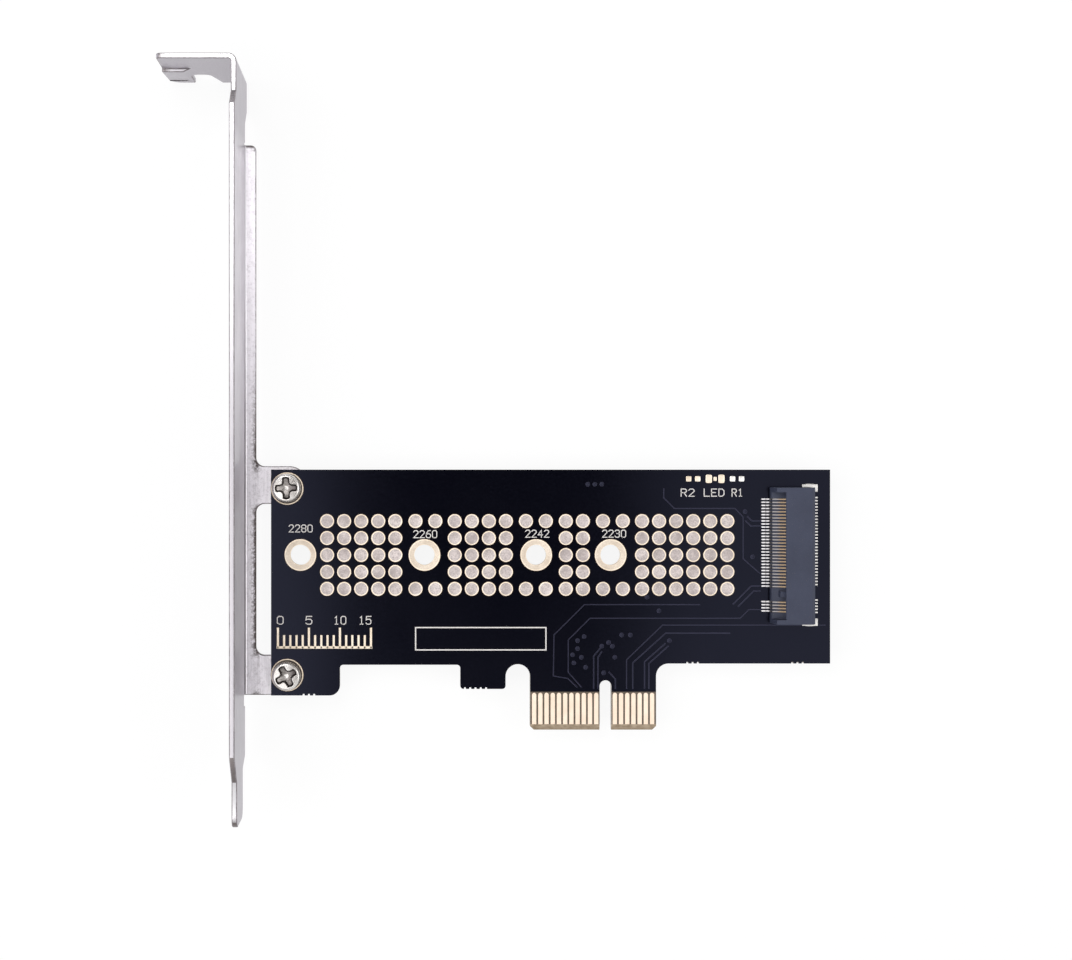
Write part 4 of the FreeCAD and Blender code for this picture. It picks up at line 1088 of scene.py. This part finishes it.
# ---- Stage: floor, light and camera ----
FLOOR_SIZE = 6
FLOOR_DROP = 0.05 * MM
FLOOR_GLOW = 0.9
CAMERA_SPOT = (-31.5 * MM, 42.7 * MM, front_face + 300 * MM)
CAMERA_SHIFT = (0.1175, -0.014)
SENSOR = 36
LENS = 62.513
CLIP = (0.01, 10)
WHITE = (1, 1, 1, 1)
PALE = (0.9, 0.9, 0.9, 1)
# (name, place, width and length in metres, watts, tilt in degrees)
SOFTBOXES = (
    ("softbox_left", (-0.42, 0.03, 0.42), (0.3, 0.42), 1.25, -45),
    ("softbox_right", (0.44, 0.05, 0.42), (0.3, 0.42), 1.0, 45),
    ("panel_left", (-0.16, -0.04, 0.33), (0.2, 0.2), 0.22, 0),
    ("panel_right", (0.15, 0.0, 0.33), (0.2, 0.34), 0.25, 0),
    ("panel_back", (-0.1, 0.19, 0.33), (0.16, 0.16), 0.44, 0),
)


def make_floor():
    """Pale floor that shows white and keeps the shadow."""
    material = bpy.data.materials.new("floor_pale")
    material.use_nodes = True
    tree = material.node_tree
    tree.nodes.clear()
    path = add(tree, "ShaderNodeLightPath").outputs
    reflected = larger(tree, path["Is Glossy Ray"], path["Is Transmission Ray"])
    seen = larger(tree, path["Is Camera Ray"], reflected)
    paint = add(tree, "ShaderNodeBsdfDiffuse", {"Color": PALE}).outputs[0]
    glow = add(tree, "ShaderNodeEmission", {"Color": WHITE, "Strength": 1.0}).outputs[0]
    mix = add(tree, "ShaderNodeMixShader", {0: times(tree, seen, FLOOR_GLOW), 1: paint, 2: glow}).outputs[0]
    add(tree, "ShaderNodeOutputMaterial", {"Surface": mix})
    bpy.ops.mesh.primitive_plane_add(size=FLOOR_SIZE, location=(0, 0, bracket_low.z - FLOOR_DROP))
    floor = bpy.context.object
    floor.name = "floor"
    floor.data.materials.append(material)


def make_world():
    """Pale surroundings to the left and right and towards -Y, dark elsewhere, for gloss to show."""
    world = bpy.data.worlds.new("studio")
    bpy.context.scene.world = world
    world.use_nodes = True
    tree = world.node_tree
    tree.nodes.clear()
    seen = add(tree, "ShaderNodeLightPath").outputs["Is Camera Ray"]
    toward = axes(tree, add(tree, "ShaderNodeTexCoord").outputs["Generated"])
    aside = span(tree, maths(tree, "ABSOLUTE", toward["X"]), 0.2, 0.9, 0.03, 0.5)
    before = span(tree, toward["Y"], -0.2, -0.05, 0.6, 0.03)
    level = larger(tree, aside, before)
    around = add(tree, "ShaderNodeBackground", {"Color": WHITE, "Strength": level}).outputs[0]
    behind = add(tree, "ShaderNodeBackground", {"Color": WHITE, "Strength": 1.0}).outputs[0]
    mix = add(tree, "ShaderNodeMixShader", {0: seen, 1: around, 2: behind}).outputs[0]
    add(tree, "ShaderNodeOutputWorld", {"Surface": mix})


def make_softbox(name, spot, size, power, tilt):
    """Soft lamp that shines down; tilt, in degrees, turns it towards -X, or +X if negative."""
    lamp = bpy.data.lights.new(name, "AREA")
    lamp.shape = "RECTANGLE"
    lamp.size, lamp.size_y = size
    lamp.energy = power
    holder = bpy.data.objects.new(name, lamp)
    bpy.context.scene.collection.objects.link(holder)
    holder.location = spot
    holder.rotation_euler = (0, math.radians(tilt), 0)
    holder.visible_camera = False


def make_camera():
    """Camera straight above the board, shifted to hold the whole card."""
    camera = bpy.data.cameras.new("camera")
    holder = bpy.data.objects.new("camera", camera)
    bpy.context.scene.collection.objects.link(holder)
    holder.location = CAMERA_SPOT
    camera.sensor_width = SENSOR
    camera.lens = LENS
    camera.shift_x, camera.shift_y = CAMERA_SHIFT
    camera.clip_start, camera.clip_end = CLIP
    bpy.context.scene.camera = holder


make_floor()
make_world()
for softbox in SOFTBOXES:
    make_softbox(*softbox)
make_camera()
bpy.context.scene.view_settings.view_transform = "Standard"
